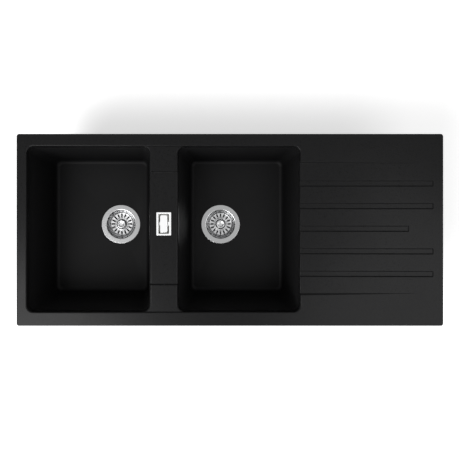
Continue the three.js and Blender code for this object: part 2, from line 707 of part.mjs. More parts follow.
/** The lift-out basket: slotted plate, hub ring, stem and the plug disc that carries the seal. */
function basket() {
  const rim = -BASKET_TOP;
  const plate = rim - BASKET_DISH;
  const hub = plate - HUB_DROP;
  const radius = cupWallAt(rim - BASKET_SHEET) - CLEARANCE;
  const crest = HUB_RING / 2;
  const plug = cupFloor + CLEARANCE + PLUG_SEAL_THICKNESS + CLEARANCE;
  const body = revolve([
    [0, hub],
    [crest - HUB_RING_WIDTH, hub],
    [crest - HUB_RING_WIDTH / 2, hub + HUB_RING_HEIGHT],
    [crest + HUB_RING_WIDTH / 2, hub + HUB_RING_HEIGHT],
    [crest + HUB_RING_WIDTH, hub + HUB_DROP / 2],
    [SLOT_OUTER + SLOT_MARGIN, plate],
    [radius - BASKET_SHEET, rim],
    [radius, rim - BASKET_SHEET],
    [SLOT_OUTER + SLOT_MARGIN + BASKET_SHEET / 2, plate - BASKET_SHEET],
    [crest + HUB_RING_WIDTH, hub + HUB_DROP / 2 - BASKET_SHEET],
    [STEM_DIAMETER / 2, hub - BASKET_SHEET],
    [STEM_DIAMETER / 2, plug + PLUG_THICKNESS],
    [PLUG_DIAMETER / 2, plug + PLUG_THICKNESS],
    [PLUG_DIAMETER / 2, plug],
    [0, plug],
  ]);
  const slot = block(
    [SLOT_INNER, -SLOT_WIDTH / 2, plate - BASKET_SHEET - 2 * PAST],
    [SLOT_OUTER, SLOT_WIDTH / 2, rim + PAST],
  );
  let cut = body.subtract(bar(KNOB_STEM / 2, hub - KNOB_SOCKET, plate + PAST));
  for (let i = 0; i < BASKET_SLOTS; i += 1) {
    cut = cut.subtract(slot.rotate([0, 0, (360 * i) / BASKET_SLOTS]));
  }
  return cut;
}

/** The dished knob that lifts the basket. */
function basketKnob() {
  const foot = -BASKET_TOP - BASKET_DISH - HUB_DROP + CLEARANCE;
  const radius = KNOB_DIAMETER / 2;
  const top = foot + KNOB_HEIGHT;
  const neck = foot + KNOB_HEIGHT / 2 - KNOB_SHOULDER;
  return revolve([
    [0, foot - KNOB_SOCKET],
    [KNOB_STEM / 2 - CLEARANCE, foot - KNOB_SOCKET],
    [KNOB_STEM / 2 - CLEARANCE, foot],
    [KNOB_STEM / 2 + KNOB_SHOULDER, foot],
    [KNOB_STEM / 2, neck],
    [radius - KNOB_EDGE, top - 2 * KNOB_EDGE],
    [radius, top - KNOB_EDGE],
    [radius - KNOB_EDGE / 2, top - KNOB_EDGE / 8],
    [radius - 2 * KNOB_EDGE, top],
    [radius / 2, top - (3 / 4) * KNOB_DISH],
    [0, top - KNOB_DISH],
  ], FITTING_SIDES);
}

/** The plastic waste under the floor; inletAngle in degrees gives it an overflow inlet. */
function wasteBody(inletAngle) {
  const outer = WASTE_DIAMETER / 2;
  const pipe = OUTLET_DIAMETER / 2;
  const flange = HOLE_RADIUS + GASKET_WIDTH + CLEARANCE;
  const funnel = -WASTE_DEPTH - FUNNEL_HEIGHT;
  const end = funnel - OUTLET_LENGTH;
  let body = revolve([
    [outer - WASTE_WALL, wasteTop],
    [outer - WASTE_WALL - WASTE_TAPER, -WASTE_DEPTH],
    [pipe - OUTLET_WALL, funnel],
    [pipe - OUTLET_WALL, end],
    [pipe, end],
    [pipe, funnel - WASTE_WALL / 2],
    [outer - WASTE_TAPER, -WASTE_DEPTH - WASTE_WALL],
    [outer, wasteTop - WASTE_FLANGE],
    [flange, wasteTop - WASTE_FLANGE],
    [flange, wasteTop],
  ], HIDDEN_SIDES);
  const reach = outer - WASTE_WALL;
  const foot = bossTop - BOSS_HEIGHT;
  let web = block([-reach, -WASTE_WALL / 2, foot], [reach, WASTE_WALL / 2, bossTop - WASTE_WALL]);
  web = web.add(web.rotate([0, 0, 90])).add(bar(BOSS_DIAMETER / 2, foot, bossTop));
  const inside = revolve([
    [0, wasteTop],
    [reach + PAST, wasteTop],
    [reach - WASTE_TAPER + PAST, -WASTE_DEPTH],
    [pipe - OUTLET_WALL + PAST, funnel],
    [0, funnel],
  ], HIDDEN_SIDES);
  body = body.add(web.intersect(inside));
  body = body.subtract(bar(SCREW_HOLE / 2, foot + WASTE_WALL, bossTop + PAST));
  if (inletAngle === undefined) return body;
  const along = (shape) =>
    shape.rotate([0, 90, 0]).rotate([0, 0, inletAngle]).translate([0, 0, -INLET_DEPTH]);
  const mouth = outer + INLET_LENGTH;
  const inlet = bar(SPIGOT_DIAMETER / 2, reach, mouth, FITTING_SIDES)
    .add(bar(HOSE_CREST / 2, reach, outer + INLET_COLLAR, FITTING_SIDES));
  const bore = bar(SPIGOT_BORE / 2, reach - 2 * WASTE_WALL, mouth + PAST, FITTING_SIDES);
  return body.add(along(inlet)).subtract(along(bore));
}

/** One complete waste at a drain's centre. */
function waste(side, x, inletAngle) {
  const drain = new THREE.Group();
  drain.position.set(x, DRAIN_Y, RECESS);
  group.add(drain);
  add(drain, `${side}_strainer_cup`, strainerCup(), BRUSHED);
  const [sealIn, sealOut] = [HOLE_RADIUS + SEAL_INSET, FLANGE_RADIUS - SEAL_INSET];
  const seal = ring(sealIn, sealOut, CLEARANCE, CLEARANCE + SEAL_THICKNESS, HIDDEN_SIDES);
  add(drain, `${side}_flange_seal`, seal, RUBBER);
  const [gasketIn, gasketOut] = [HOLE_RADIUS + HOLE_GAP, HOLE_RADIUS + GASKET_WIDTH];
  const gasket = ring(gasketIn, gasketOut, gasketTop - GASKET_THICKNESS, gasketTop, HIDDEN_SIDES);
  add(drain, `${side}_floor_gasket`, gasket, RUBBER);
  add(drain, `${side}_waste_body`, wasteBody(inletAngle), PLASTIC);
  const head = sumpFloor + CLEARANCE;
  const shaft = bossTop - BOSS_HEIGHT + WASTE_WALL + CLEARANCE;
  const screw = bar(SCREW_HEAD / 2, head, head + SCREW_HEAD_HEIGHT)
    .add(bar(SCREW_DIAMETER / 2, shaft, head + PAST));
  add(drain, `${side}_clamp_screw`, screw, ZINC);
  add(drain, `${side}_basket`, basket(), POLISHED);
  add(drain, `${side}_basket_knob`, basketKnob(), POLISHED);
  const plugSeal = ring(
    SUMP_DIAMETER / 2 - SEAL_INSET,
    PLUG_SEAL_DIAMETER / 2,
    cupFloor + CLEARANCE,
    cupFloor + CLEARANCE + PLUG_SEAL_THICKNESS,
    HIDDEN_SIDES,
  );
  add(drain, `${side}_basket_seal`, plugSeal, RUBBER);
}

// ---- Overflow, its sizes measured from the top of the divider's middle

/** A rectangle about the overflow's centre in the sink's frame, grown by a margin. */
function overflowOutline(width, length, margin = 0, radius = 1) {
  const [across, along] = [width / 2 + margin, length / 2 + margin];
  return {
    x0: DIVIDER_X - across,
    x1: DIVIDER_X + across,
    y0: OVERFLOW_FORWARD - along,
    y1: OVERFLOW_FORWARD + along,
    radius,
  };
}

/** The same rectangle about the origin, as a ring at a height. */
function framed(width, length, z, radius = 1, steps = 1) {
  const plan = { x0: -width / 2, x1: width / 2, y0: -length / 2, y1: length / 2, radius };
  return roundedRectangle(plan, z, steps);
}

const frameFoot = CLEARANCE;
const frameTop = frameFoot + FRAME_THICKNESS;
const bridgeTop = -SKIRT_DEPTH + BRIDGE_THICKNESS;
const plateThickness = SADDLE + TRAY_DEPTH; // of the divider, under the frame
const gasketLow = -plateThickness - CLEARANCE - HOUSING_GASKET;
const boxTop = gasketLow - CLEARANCE;
const boxFloor = boxTop - HOUSING_DEPTH;
const spigotEnd = boxFloor - SPIGOT_LENGTH;
const housingInside = [MOUTH_WIDTH + 2 * HOUSING_ROOM, MOUTH_LENGTH + 2 * HOUSING_ROOM];

/** The polished frame: a flat rim, a tapering mouth and the bridge for the screw. */
function overflowFrame() {
  const taper = 2 * MOUTH_TAPER;
  const outer = 2 * SKIRT_WALL;
  const rim = loft([
    framed(FRAME_WIDTH, FRAME_LENGTH, frameFoot),
    framed(FRAME_WIDTH, FRAME_LENGTH, frameTop - FRAME_EDGE),
    framed(FRAME_WIDTH - 2 * FRAME_EDGE, FRAME_LENGTH - 2 * FRAME_EDGE, frameTop),
  ]);
  const skirt = loft([
    framed(MOUTH_WIDTH - taper + outer, MOUTH_LENGTH - taper + outer, -SKIRT_DEPTH),
    framed(MOUTH_WIDTH + outer, MOUTH_LENGTH + outer, frameFoot + PAST),
  ]);
  const mouth = loft([
    framed(MOUTH_WIDTH - taper, MOUTH_LENGTH - taper, -SKIRT_DEPTH - PAST),
    framed(MOUTH_WIDTH, MOUTH_LENGTH, frameTop - FRAME_EDGE),
    framed(MOUTH_WIDTH + 4 * FRAME_EDGE, MOUTH_LENGTH + 4 * FRAME_EDGE, frameTop + FRAME_EDGE),
  ]);
  const half = MOUTH_WIDTH / 2 - MOUTH_TAPER + SKIRT_WALL / 2;
  const bridge = block([-half, -BRIDGE_WIDTH / 2, -SKIRT_DEPTH], [half, BRIDGE_WIDTH / 2, bridgeTop]);
  const hole = bar(OVERFLOW_SCREW / 2 + CLEARANCE, -SKIRT_DEPTH - PAST, bridgeTop + PAST);
  return rim.add(skirt).subtract(mouth).add(bridge).subtract(hole);
}

/** The cover plate with the two legs that grip the bridge. */
function overflowCover() {
  const top = frameTop - COVER_SINK;
  const plate = loft([
    framed(COVER_WIDTH, COVER_LENGTH, top - COVER_THICKNESS, COVER_CORNER, 4),
    framed(COVER_WIDTH, COVER_LENGTH, top - COVER_EDGE, COVER_CORNER, 4),
    framed(COVER_WIDTH - 2 * COVER_EDGE, COVER_LENGTH - 2 * COVER_EDGE, top, COVER_CORNER - COVER_EDGE, 4),
  ]);
  const [half, near] = [COVER_LEG_WIDTH / 2, BRIDGE_WIDTH / 2 + CLEARANCE];
  const leg = block([-half, near, -SKIRT_DEPTH], [half, near + COVER_LEG, top - COVER_THICKNESS / 2]);
  return plate.add(leg).add(leg.rotate([0, 0, 180]));
}

/** The plastic housing under the divider with its screw boss and hose spigot. */
function overflowHousing() {
  const [width, length] = housingInside;
  const wall = 2 * HOUSING_WALL;
  const flange = wall + 2 * HOUSING_FLANGE;
  const foot = SPIGOT_DIAMETER + wall;
  const funnel = boxFloor + HOUSING_FUNNEL;
  const box = loft([
    framed(foot, foot, boxFloor, SPIGOT_DIAMETER / 2, 2),
    framed(width + wall, length + wall, funnel, HOUSING_CORNER, 2),
    framed(width + wall, length + wall, boxTop, HOUSING_CORNER, 2),
  ]).add(loft([
    framed(width + flange, length + flange, boxTop - HOUSING_WALL, HOUSING_CORNER, 2),
    framed(width + flange, length + flange, boxTop, HOUSING_CORNER, 2),
  ]));
  const inside = loft([
    framed(SPIGOT_BORE, SPIGOT_BORE, boxFloor + HOUSING_WALL, SPIGOT_BORE / 3, 2),
    framed(width, length, funnel + HOUSING_WALL, HOUSING_CORNER / 2, 2),
    framed(width, length, boxTop + PAST, HOUSING_CORNER / 2, 2),
  ]);
  const reach = width / 2 + PAST;
  const bossHigh = -SKIRT_DEPTH - CLEARANCE;
  const bossLow = boxTop - OVERFLOW_BOSS_DEPTH;
  const half = HOUSING_WALL / 2;
  const web = block([-reach, -half, bossLow], [reach, half, boxTop - HOUSING_FLANGE]);
  return box.subtract(inside).add(bar(OVERFLOW_BOSS / 2, bossLow, bossHigh)).add(web)
    .add(bar(SPIGOT_DIAMETER / 2, spigotEnd, boxFloor + PAST, FITTING_SIDES))
    .subtract(bar(SPIGOT_BORE / 2, spigotEnd - PAST, boxFloor + HOUSING_WALL + PAST, FITTING_SIDES))
    .subtract(bar(OVERFLOW_SCREW / 2 + CLEARANCE, bossLow - PAST, bossHigh + PAST));
}

/** A worm-drive clip round a hose end, standing on the plane z = 0. */
function hoseBand() {
  const inner = HOSE_VALLEY / 2 + CLEARANCE;
  const outer = inner + BAND_THICKNESS;
  const band = ring(inner, outer, 0, BAND_WIDTH, FITTING_SIDES);
  const half = BAND_HOUSING_LENGTH / 2;
  const housing = block(
    [-half, outer - BAND_THICKNESS / 2, BAND_THICKNESS],
    [half, inner + BAND_HOUSING, BAND_WIDTH - BAND_THICKNESS],
  );
  const screw = bar(BAND_SCREW / 2, -half - BAND_SCREW_HEAD, half + BAND_THICKNESS, SCREW_SIDES);
  const axis = inner + BAND_HOUSING - BAND_SCREW / 3;
  return band.add(housing).add(screw.rotate([0, 90, 0]).translate([0, axis, BAND_WIDTH / 2]));
}

/** A ribbed hose through points that each have a direction, plain at both ends. */
function ribbedHose(route, sideways) {
  const length = route.at(-1).at;
  const place = (at) => {
    const next = route.findIndex((point, i) => i > 0 && point.at >= at - 1e-9);
    const [a, b] = [route[next - 1], route[next]];
    const share = (at - a.at) / (b.at - a.at);
    const along = a.along.clone().lerp(b.along, share).normalize();
    return { centre: a.centre.clone().lerp(b.centre, share), along };
  };
  const circle = (at, reach) => {
    const { centre, along } = place(at);
    const across = new THREE.Vector3().crossVectors(along, sideways);
    return Array.from({ length: HOSE_SIDES }, (_, i) => {
      const angle = ((i + 0.5) / HOSE_SIDES) * 2 * Math.PI;
      return centre.clone()
        .addScaledVector(sideways, reach * Math.cos(angle))
        .addScaledVector(across, reach * Math.sin(angle))
        .toArray();
    });
  };
  const ribs = Math.floor((length - 2 * HOSE_CUFF) / HOSE_RIB_PITCH);
  const start = (length - ribs * HOSE_RIB_PITCH) / 2;
  const bore = HOSE_BORE / 2 / Math.cos(Math.PI / HOSE_SIDES); // its flats clear the spigots
  const outside = [circle(0, HOSE_VALLEY / 2), circle(start, HOSE_VALLEY / 2)];
  const inside = [circle(0, bore), circle(start, bore)];
  for (let i = 1; i <= ribs; i += 1) {
    outside.push(circle(start + (i - 0.5) * HOSE_RIB_PITCH, HOSE_CREST / 2));
    outside.push(circle(start + i * HOSE_RIB_PITCH, HOSE_VALLEY / 2));
    if (i % BORE_STEP === 0 || i === ribs) inside.push(circle(start + i * HOSE_RIB_PITCH, bore));
  }
  outside.push(circle(length, HOSE_VALLEY / 2));
  inside.push(circle(length, bore));
  const loops = [...outside, ...inside.reverse()];
  const index = [];
  loops.forEach((_, loop) => {
    const next = (loop + 1) % loops.length;
    for (let i = 0; i < HOSE_SIDES; i += 1) {
      const j = (i + 1) % HOSE_SIDES;
      const [a, b] = [loop * HOSE_SIDES + i, loop * HOSE_SIDES + j];
      const [c, d] = [next * HOSE_SIDES + j, next * HOSE_SIDES + i];
      index.push(a, b, c, a, c, d);
    }
  });
  const geometry = new THREE.BufferGeometry();
  geometry.setAttribute('position', new THREE.Float32BufferAttribute(loops.flat(2), 3));
  geometry.setIndex(index);
  return solid(geometry);
}

/** From the spigot under the divider down, round one bend and level to the right waste's inlet. */
function overflowHose(top, drain) {
  const level = new THREE.Vector3(drain.x - top.x, drain.y - top.y, 0);
  const distance = level.length();
  level.normalize();
  const down = new THREE.Vector3(0, 0, -1);
  const inlet = RECESS - INLET_DEPTH;
  const end = distance - WASTE_DIAMETER / 2 - INLET_COLLAR - HOSE_STOP;
  const route = [{ centre: top.clone(), along: down.clone(), at: 0 }];
  const bendTop = new THREE.Vector3(top.x, top.y, inlet + HOSE_BEND);
  for (let i = 0; i <= BEND_STEPS; i += 1) {
    const angle = (i / BEND_STEPS) * (Math.PI / 2);
    const centre = bendTop.clone()
      .addScaledVector(level, HOSE_BEND * (1 - Math.cos(angle)))
      .addScaledVector(down, HOSE_BEND * Math.sin(angle));
    const along = down.clone().multiplyScalar(Math.cos(angle)).addScaledVector(level, Math.sin(angle));
    const last = route.at(-1);
    route.push({ centre, along, at: last.at + centre.distanceTo(last.centre) });
  }
  const last = route.at(-1);
  const finish = last.centre.clone().addScaledVector(level, end - HOSE_BEND);
  route.push({ centre: finish, along: level.clone(), at: last.at + end - HOSE_BEND });
  return ribbedHose(route, new THREE.Vector3().crossVectors(level, down));
}

function overflow() {
  const frame = new THREE.Group();
  frame.position.set(DIVIDER_X, OVERFLOW_FORWARD, SADDLE);
  group.add(frame);
  add(frame, 'overflow_frame', overflowFrame(), POLISHED);
  add(frame, 'overflow_cover', overflowCover(), POLISHED);
  const head = bridgeTop + CLEARANCE;
  const screw = bar(OVERFLOW_HEAD / 2, head, head + OVERFLOW_HEAD_HEIGHT)
    .add(bar(OVERFLOW_SCREW / 2, boxTop - OVERFLOW_SCREW_DEPTH, head + PAST));
  add(frame, 'overflow_screw', screw, ZINC);
  const [width, length] = housingInside;
  const wide = 2 * (HOUSING_WALL + HOUSING_FLANGE);
  const gasketHigh = gasketLow + HOUSING_GASKET;
  const gasket = loft([
    framed(width + wide, length + wide, gasketLow, HOUSING_CORNER, 2),
    framed(width + wide, length + wide, gasketHigh, HOUSING_CORNER, 2),
  ]).subtract(loft([
    framed(width + HOUSING_WALL, length + HOUSING_WALL, gasketLow - PAST),
    framed(width + HOUSING_WALL, length + HOUSING_WALL, gasketHigh + PAST),
  ]));
  add(frame, 'overflow_gasket', gasket, RUBBER);
  add(frame, 'overflow_housing', overflowHousing(), PLASTIC);

  const top = new THREE.Vector3(DIVIDER_X, OVERFLOW_FORWARD, SADDLE + boxFloor - HOSE_STOP);
  const drain = new THREE.Vector3(RIGHT_DRAIN_X, DRAIN_Y, 0);
  add(group, 'overflow_hose', overflowHose(top, drain), PLASTIC);
  const upper = add(group, 'upper_hose_clip', hoseBand(), ZINC);
  upper.position.copy(top).add(new THREE.Vector3(0, 0, -(HOSE_CUFF + BAND_WIDTH) / 2));
  const away = new THREE.Vector3(top.x - drain.x, top.y - drain.y, 0).normalize();
  const lower = add(group, 'lower_hose_clip', hoseBand(), ZINC);
  const mid = WASTE_DIAMETER / 2 + INLET_COLLAR + HOSE_STOP + (HOSE_CUFF - BAND_WIDTH) / 2;
  lower.position.set(drain.x + mid * away.x, drain.y + mid * away.y, RECESS - INLET_DEPTH);
  lower.quaternion.setFromUnitVectors(new THREE.Vector3(0, 0, 1), away);
}

// ---- Worktop clips

const clawFoot = -WORKTOP - CLEARANCE - CLAW_LIP;

/** The U-shaped claw: heel against the lug, toe against the underside of the worktop. */
function claw() {
  const section = new THREE.Shape([
    [-CLAW_HEEL, clawFoot],
    [CLAW_TOE, clawFoot],
    [CLAW_TOE, clawFoot + CLAW_LIP],
    [CLAW_TOE - CLAW_SHEET, clawFoot + CLAW_LIP],
    [CLAW_TOE - CLAW_SHEET, clawFoot + CLAW_SHEET],
    [CLAW_SHEET - CLAW_HEEL, clawFoot + CLAW_SHEET],
    [CLAW_SHEET - CLAW_HEEL, -LUG_DEPTH - CLEARANCE],
    [-CLAW_HEEL, -LUG_DEPTH - CLEARANCE],
  ].map(([x, y]) => new THREE.Vector2(x, y)));
  const strip = new THREE.ExtrudeGeometry(section, { depth: CLAW_WIDTH, bevelEnabled: false });
  strip.translate(0, 0, -CLAW_WIDTH / 2).rotateX(Math.PI / 2);
  const hole = bar(CLIP_SCREW / 2 + CLEARANCE, clawFoot - PAST, clawFoot + CLAW_SHEET + PAST, SCREW_SIDES);
  return solid(strip).subtract(hole);
}

/** One clip: claw, screw and the insert moulded into the lug. */
function clip(number, x, side) {
  const place = new THREE.Group();
  place.position.set(x, side * clipY, 0);
  place.rotation.z = (side * Math.PI) / 2;
  group.add(place);
  add(place, `clip_claw_${number}`, claw(), ZINC);
  const head = clawFoot - CLEARANCE;
  const screw = bar(CLIP_HEAD / 2, head - CLIP_HEAD_HEIGHT, head, SCREW_SIDES)
    .add(bar(CLIP_SCREW / 2, head - PAST, insertEnd - CLEARANCE, SCREW_SIDES));
  add(place, `clip_screw_${number}`, screw, ZINC);
  const insert = ring(INSERT_BORE / 2, INSERT_DIAMETER / 2, -LUG_DEPTH, insertEnd, SCREW_SIDES);
  add(place, `clip_insert_${number}`, insert, NYLON);
}

add(group, 'sink_body', sinkBody(), COMPOSITE);
const towardsOverflow = Math.atan2(OVERFLOW_FORWARD - DRAIN_Y, DIVIDER_X - RIGHT_DRAIN_X);
waste('left', LEFT_DRAIN_X);
waste('right', RIGHT_DRAIN_X, THREE.MathUtils.radToDeg(towardsOverflow));
overflow();
clipXs.forEach((x, i) => {
  clip(i + 1, x, 1);
  clip(i + 1 + CLIPS_PER_SIDE, x, -1);
});

export default group;
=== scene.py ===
"""Looks of a double bowl kitchen sink in black stone composite, with its wastes, overflow and clips.

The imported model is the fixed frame. Each sub-assembly is a class that builds fine meshes for its
pieces in the places where the frame has them, and dresses them in procedural finishes. Shapes are
worked out in millimetres and go into the meshes in metres, +X towards the drainer, +Y towards the
wall behind the sink, +Z up.
"""

from __future__ import annotations

import logging
import math
from dataclasses import dataclass
from enum import Enum
from typing import Any, Mapping, Sequence, Union

import bmesh
import bpy
import numpy as np
from mathutils import Matrix, Vector

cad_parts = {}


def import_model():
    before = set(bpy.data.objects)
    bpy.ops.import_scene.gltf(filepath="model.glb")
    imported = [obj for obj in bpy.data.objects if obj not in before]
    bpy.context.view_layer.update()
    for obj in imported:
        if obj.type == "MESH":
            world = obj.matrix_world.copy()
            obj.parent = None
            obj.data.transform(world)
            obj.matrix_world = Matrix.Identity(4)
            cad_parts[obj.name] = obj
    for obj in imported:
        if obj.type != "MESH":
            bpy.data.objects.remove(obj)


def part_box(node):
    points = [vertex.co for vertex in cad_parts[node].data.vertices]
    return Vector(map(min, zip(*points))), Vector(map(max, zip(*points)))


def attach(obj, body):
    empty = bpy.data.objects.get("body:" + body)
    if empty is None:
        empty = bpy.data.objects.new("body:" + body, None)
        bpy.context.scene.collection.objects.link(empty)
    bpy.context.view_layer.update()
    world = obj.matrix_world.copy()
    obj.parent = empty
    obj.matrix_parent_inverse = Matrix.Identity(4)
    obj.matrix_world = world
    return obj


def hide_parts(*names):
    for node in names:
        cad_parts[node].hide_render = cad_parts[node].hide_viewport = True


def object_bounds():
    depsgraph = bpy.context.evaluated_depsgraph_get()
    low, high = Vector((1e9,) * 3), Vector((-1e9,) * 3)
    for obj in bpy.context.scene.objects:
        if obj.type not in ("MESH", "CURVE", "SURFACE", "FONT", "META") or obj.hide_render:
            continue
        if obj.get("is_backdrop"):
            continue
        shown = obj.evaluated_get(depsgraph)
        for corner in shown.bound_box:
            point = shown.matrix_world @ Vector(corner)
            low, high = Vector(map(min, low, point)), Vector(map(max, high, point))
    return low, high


log = logging.getLogger("sink")

MM = 0.001  # metres in a millimetre
PAST = 1.0  # how far a cutter runs on past the surface that it opens
CLEARANCE = 0.3  # running or seating gap between two pieces
ARC_STEPS = 8  # facets round a quarter circle of a small edge
CORNER_STEPS = 12  # facets round a quarter circle of a plan corner
ROUND_SIDES = 96
FITTING_SIDES = 64
SCREW_SIDES = 24
HEX_SIDES = 6
CLIPS = 8
FITTING_SHARP = 34  # degrees past which an edge of a fitting stays sharp

Colour = tuple[float, float, float]
Corner = tuple[float, float, float]
Grid = np.ndarray
Numbers = Union[float, Sequence[float], np.ndarray]


class Side(Enum):
    """The two bowls and what is fitted in them."""

    LEFT = "left"
    RIGHT = "right"


class Slot(Enum):
    """The record's material slots."""

    COMPOSITE = "composite"
    BRUSHED_STEEL = "brushed_steel"
    POLISHED_STEEL = "polished_steel"
    CHROME = "chrome"
    RUBBER = "rubber"
    WHITE_PLASTIC = "white_plastic"
    HOSE_PLASTIC = "hose_plastic"
    ZINC = "zinc"
    NYLON = "nylon"


class Combine(Enum):
    """What a Boolean step does with its second solid."""

    ADD = "UNION"
    CUT = "DIFFERENCE"
    KEEP = "INTERSECT"


# ---------------------------------------------------------------- shader graphs


class Wire:
    """A node's output that takes part in arithmetic: an expression on wires adds its Math nodes."""

    def __init__(self, graph: "Graph", socket: bpy.types.NodeSocket) -> None:
        """Wraps one output socket of a graph."""
        self.graph = graph
        self.socket = socket

    def _math(self, operation: str, first: "Feed", second: "Feed") -> "Wire":
        """One Math node on two values."""
        return self.graph.node("ShaderNodeMath", {"operation": operation}, {0: first, 1: second})

    def __add__(self, other: "Feed") -> "Wire":
        """Sum."""
        return self._math("ADD", self, other)

    __radd__ = __add__

    def __sub__(self, other: "Feed") -> "Wire":
        """Difference."""
        return self._math("SUBTRACT", self, other)

    def __rsub__(self, other: "Feed") -> "Wire":
        """Difference with the wire second, as in 1 - mask."""
        return self._math("SUBTRACT", other, self)

    def __mul__(self, other: "Feed") -> "Wire":
        """Product."""
        return self._math("MULTIPLY", self, other)

    __rmul__ = __mul__

    def __pow__(self, other: "Feed") -> "Wire":
        """Power."""
        return self._math("POWER", self, other)

    def maximum(self, other: "Feed") -> "Wire":
        """The larger of two values."""
        return self._math("MAXIMUM", self, other)

    def angle_to(self, other: "Feed") -> "Wire":
        """The angle whose sine and cosine stand in the ratio of this wire to the other."""
        return self._math("ARCTAN2", self, other)


Feed = Union[Wire, float, Sequence[float]]


class Graph:
    """The node tree of one material or of the world."""

    def __init__(self, owner: Union[bpy.types.Material, bpy.types.World]) -> None:
        """Empties the owner's tree and starts a new one.

        Args:
            owner: the material or world that is given nodes.
        """
        owner.use_nodes = True
        self.tree = owner.node_tree
        self.tree.nodes.clear()

    def node(
        self,
        kind: str,
        settings: Mapping[str, Any] | None = None,
        sockets: Mapping[Union[int, str], Feed] | None = None,
        output: Union[int, str] = 0,
    ) -> Wire:
        """Adds one node.

        Args:
            kind: the node's type.
            settings: its properties, set first; "stops" are a colour ramp's (place, grey) pairs.
            sockets: the value or the wire of each input, by index or name.
            output: the output that the returned wire comes from.

        Returns:
            The chosen output.
        """
        made = self.tree.nodes.new(kind)
        for name, value in (settings or {}).items():
            if name == "stops":
                self._set_stops(made, value)
            else:
                setattr(made, name, value)
        for key, value in (sockets or {}).items():
            if isinstance(value, Wire):
                self.tree.links.new(value.socket, made.inputs[key])
            else:
                made.inputs[key].default_value = value
        return Wire(self, made.outputs[output]) if len(made.outputs) else Wire(self, None)

    @staticmethod
    def _set_stops(ramp: bpy.types.Node, stops: Sequence[tuple[float, float]]) -> None:
        """Gives a colour ramp its stops, each a place and a grey.

        Args:
            ramp: the node.
            stops: places and greys.
        """
        elements = ramp.color_ramp.elements
        while len(elements) < len(stops):
            elements.new(0.5)
        for element, (place, grey) in zip(elements, stops):
            element.position = place
            element.color = (grey, grey, grey, 1)

    def place(self, centre: Sequence[float] = (0, 0, 0), scale: Feed = (1, 1, 1)) -> Wire:
        """Object coordinates about a centre in metres, scaled."""
        coordinate = self.node("ShaderNodeTexCoord", output="Object")
        return self.node(
            "ShaderNodeMapping",
            {"vector_type": "POINT"},
            {0: coordinate, 1: tuple(-c * s for c, s in zip(centre, scale)), 3: scale},
        )

    def axes(self, vector: Wire) -> tuple[Wire, Wire, Wire]:
        """The three components of a vector."""
        split = self.node("ShaderNodeSeparateXYZ", sockets={0: vector}).socket.node
        return tuple(Wire(self, split.outputs[i]) for i in range(3))

    def vector(self, x: Feed, y: Feed, z: Feed) -> Wire:
        """A vector from three components."""
        return self.node("ShaderNodeCombineXYZ", sockets={0: x, 1: y, 2: z})

    def noise(self, vector: Wire, scale: float, detail: float = 2.0, roughness: float = 0.5) -> Wire:
        """Noise between 0 and 1."""
        sockets = {"Vector": vector, "Scale": scale, "Detail": detail, "Roughness": roughness}
        return self.node("ShaderNodeTexNoise", sockets=sockets)

    def ramp(self, value: Wire, stops: Sequence[tuple[float, float]]) -> Wire:
        """A value sent through a ramp of greys."""
        return self.node("ShaderNodeValToRGB", {"stops": stops}, {0: value})

    def blend(self, factor: Feed, low: Feed, high: Feed) -> Wire:
        """A colour between two colours; three numbers are taken as an opaque colour.

        Args:
            factor: from 0, the low colour, to 1, the high one.
            low, high: the two colours.

        Returns:
            The blended colour.
        """
        opaque = [(*c, 1.0) if isinstance(c, tuple) and len(c) == 3 else c for c in (low, high)]
        settings = {"data_type": "RGBA"}
        return self.node("ShaderNodeMix", settings, {0: factor, 6: opaque[0], 7: opaque[1]}, output=2)

    def bump(self, height: Wire, strength: float, distance: float) -> Wire:
        """A normal bent by a height."""
        sockets = {"Strength": strength, "Distance": distance, "Height": height}
        return self.node("ShaderNodeBump", sockets=sockets)

    def surface(self, sockets: Mapping[str, Feed]) -> None:
        """Ends the graph in a Principled shader with the given sockets."""
        shader = self.node("ShaderNodeBsdfPrincipled", sockets=sockets)
        self.node("ShaderNodeOutputMaterial", sockets={"Surface": shader})


def metre_scale(millimetres: float) -> float:
    """The scale of a texture whose features are this many millimetres apart."""
    return 1 / (millimetres * MM)


def toned(colour: Colour, factor: float) -> Colour:
    """A colour made darker or lighter by a factor."""
    return tuple(c * factor for c in colour)


# ---------------------------------------------------------------- finishes


@dataclass(frozen=True)
class Finish:
    """A material with the record's slot that it belongs to."""

    slot: Slot

    @property
    def name(self) -> str:
        """The material's name."""
        return self.slot.value

    def dress(self, graph: Graph) -> None:
        """Builds the shader; each finish has its own."""
        raise NotImplementedError

    def material(self) -> bpy.types.Material:
        """The finished material, made once for each name.

        Returns:
            The material.
        """
        known = bpy.data.materials.get(self.name)
        if known and known.get("sink_finish"):
            return known
        made = bpy.data.materials.new(self.name)
        made["sink_finish"] = True
        self.dress(Graph(made))
        return made


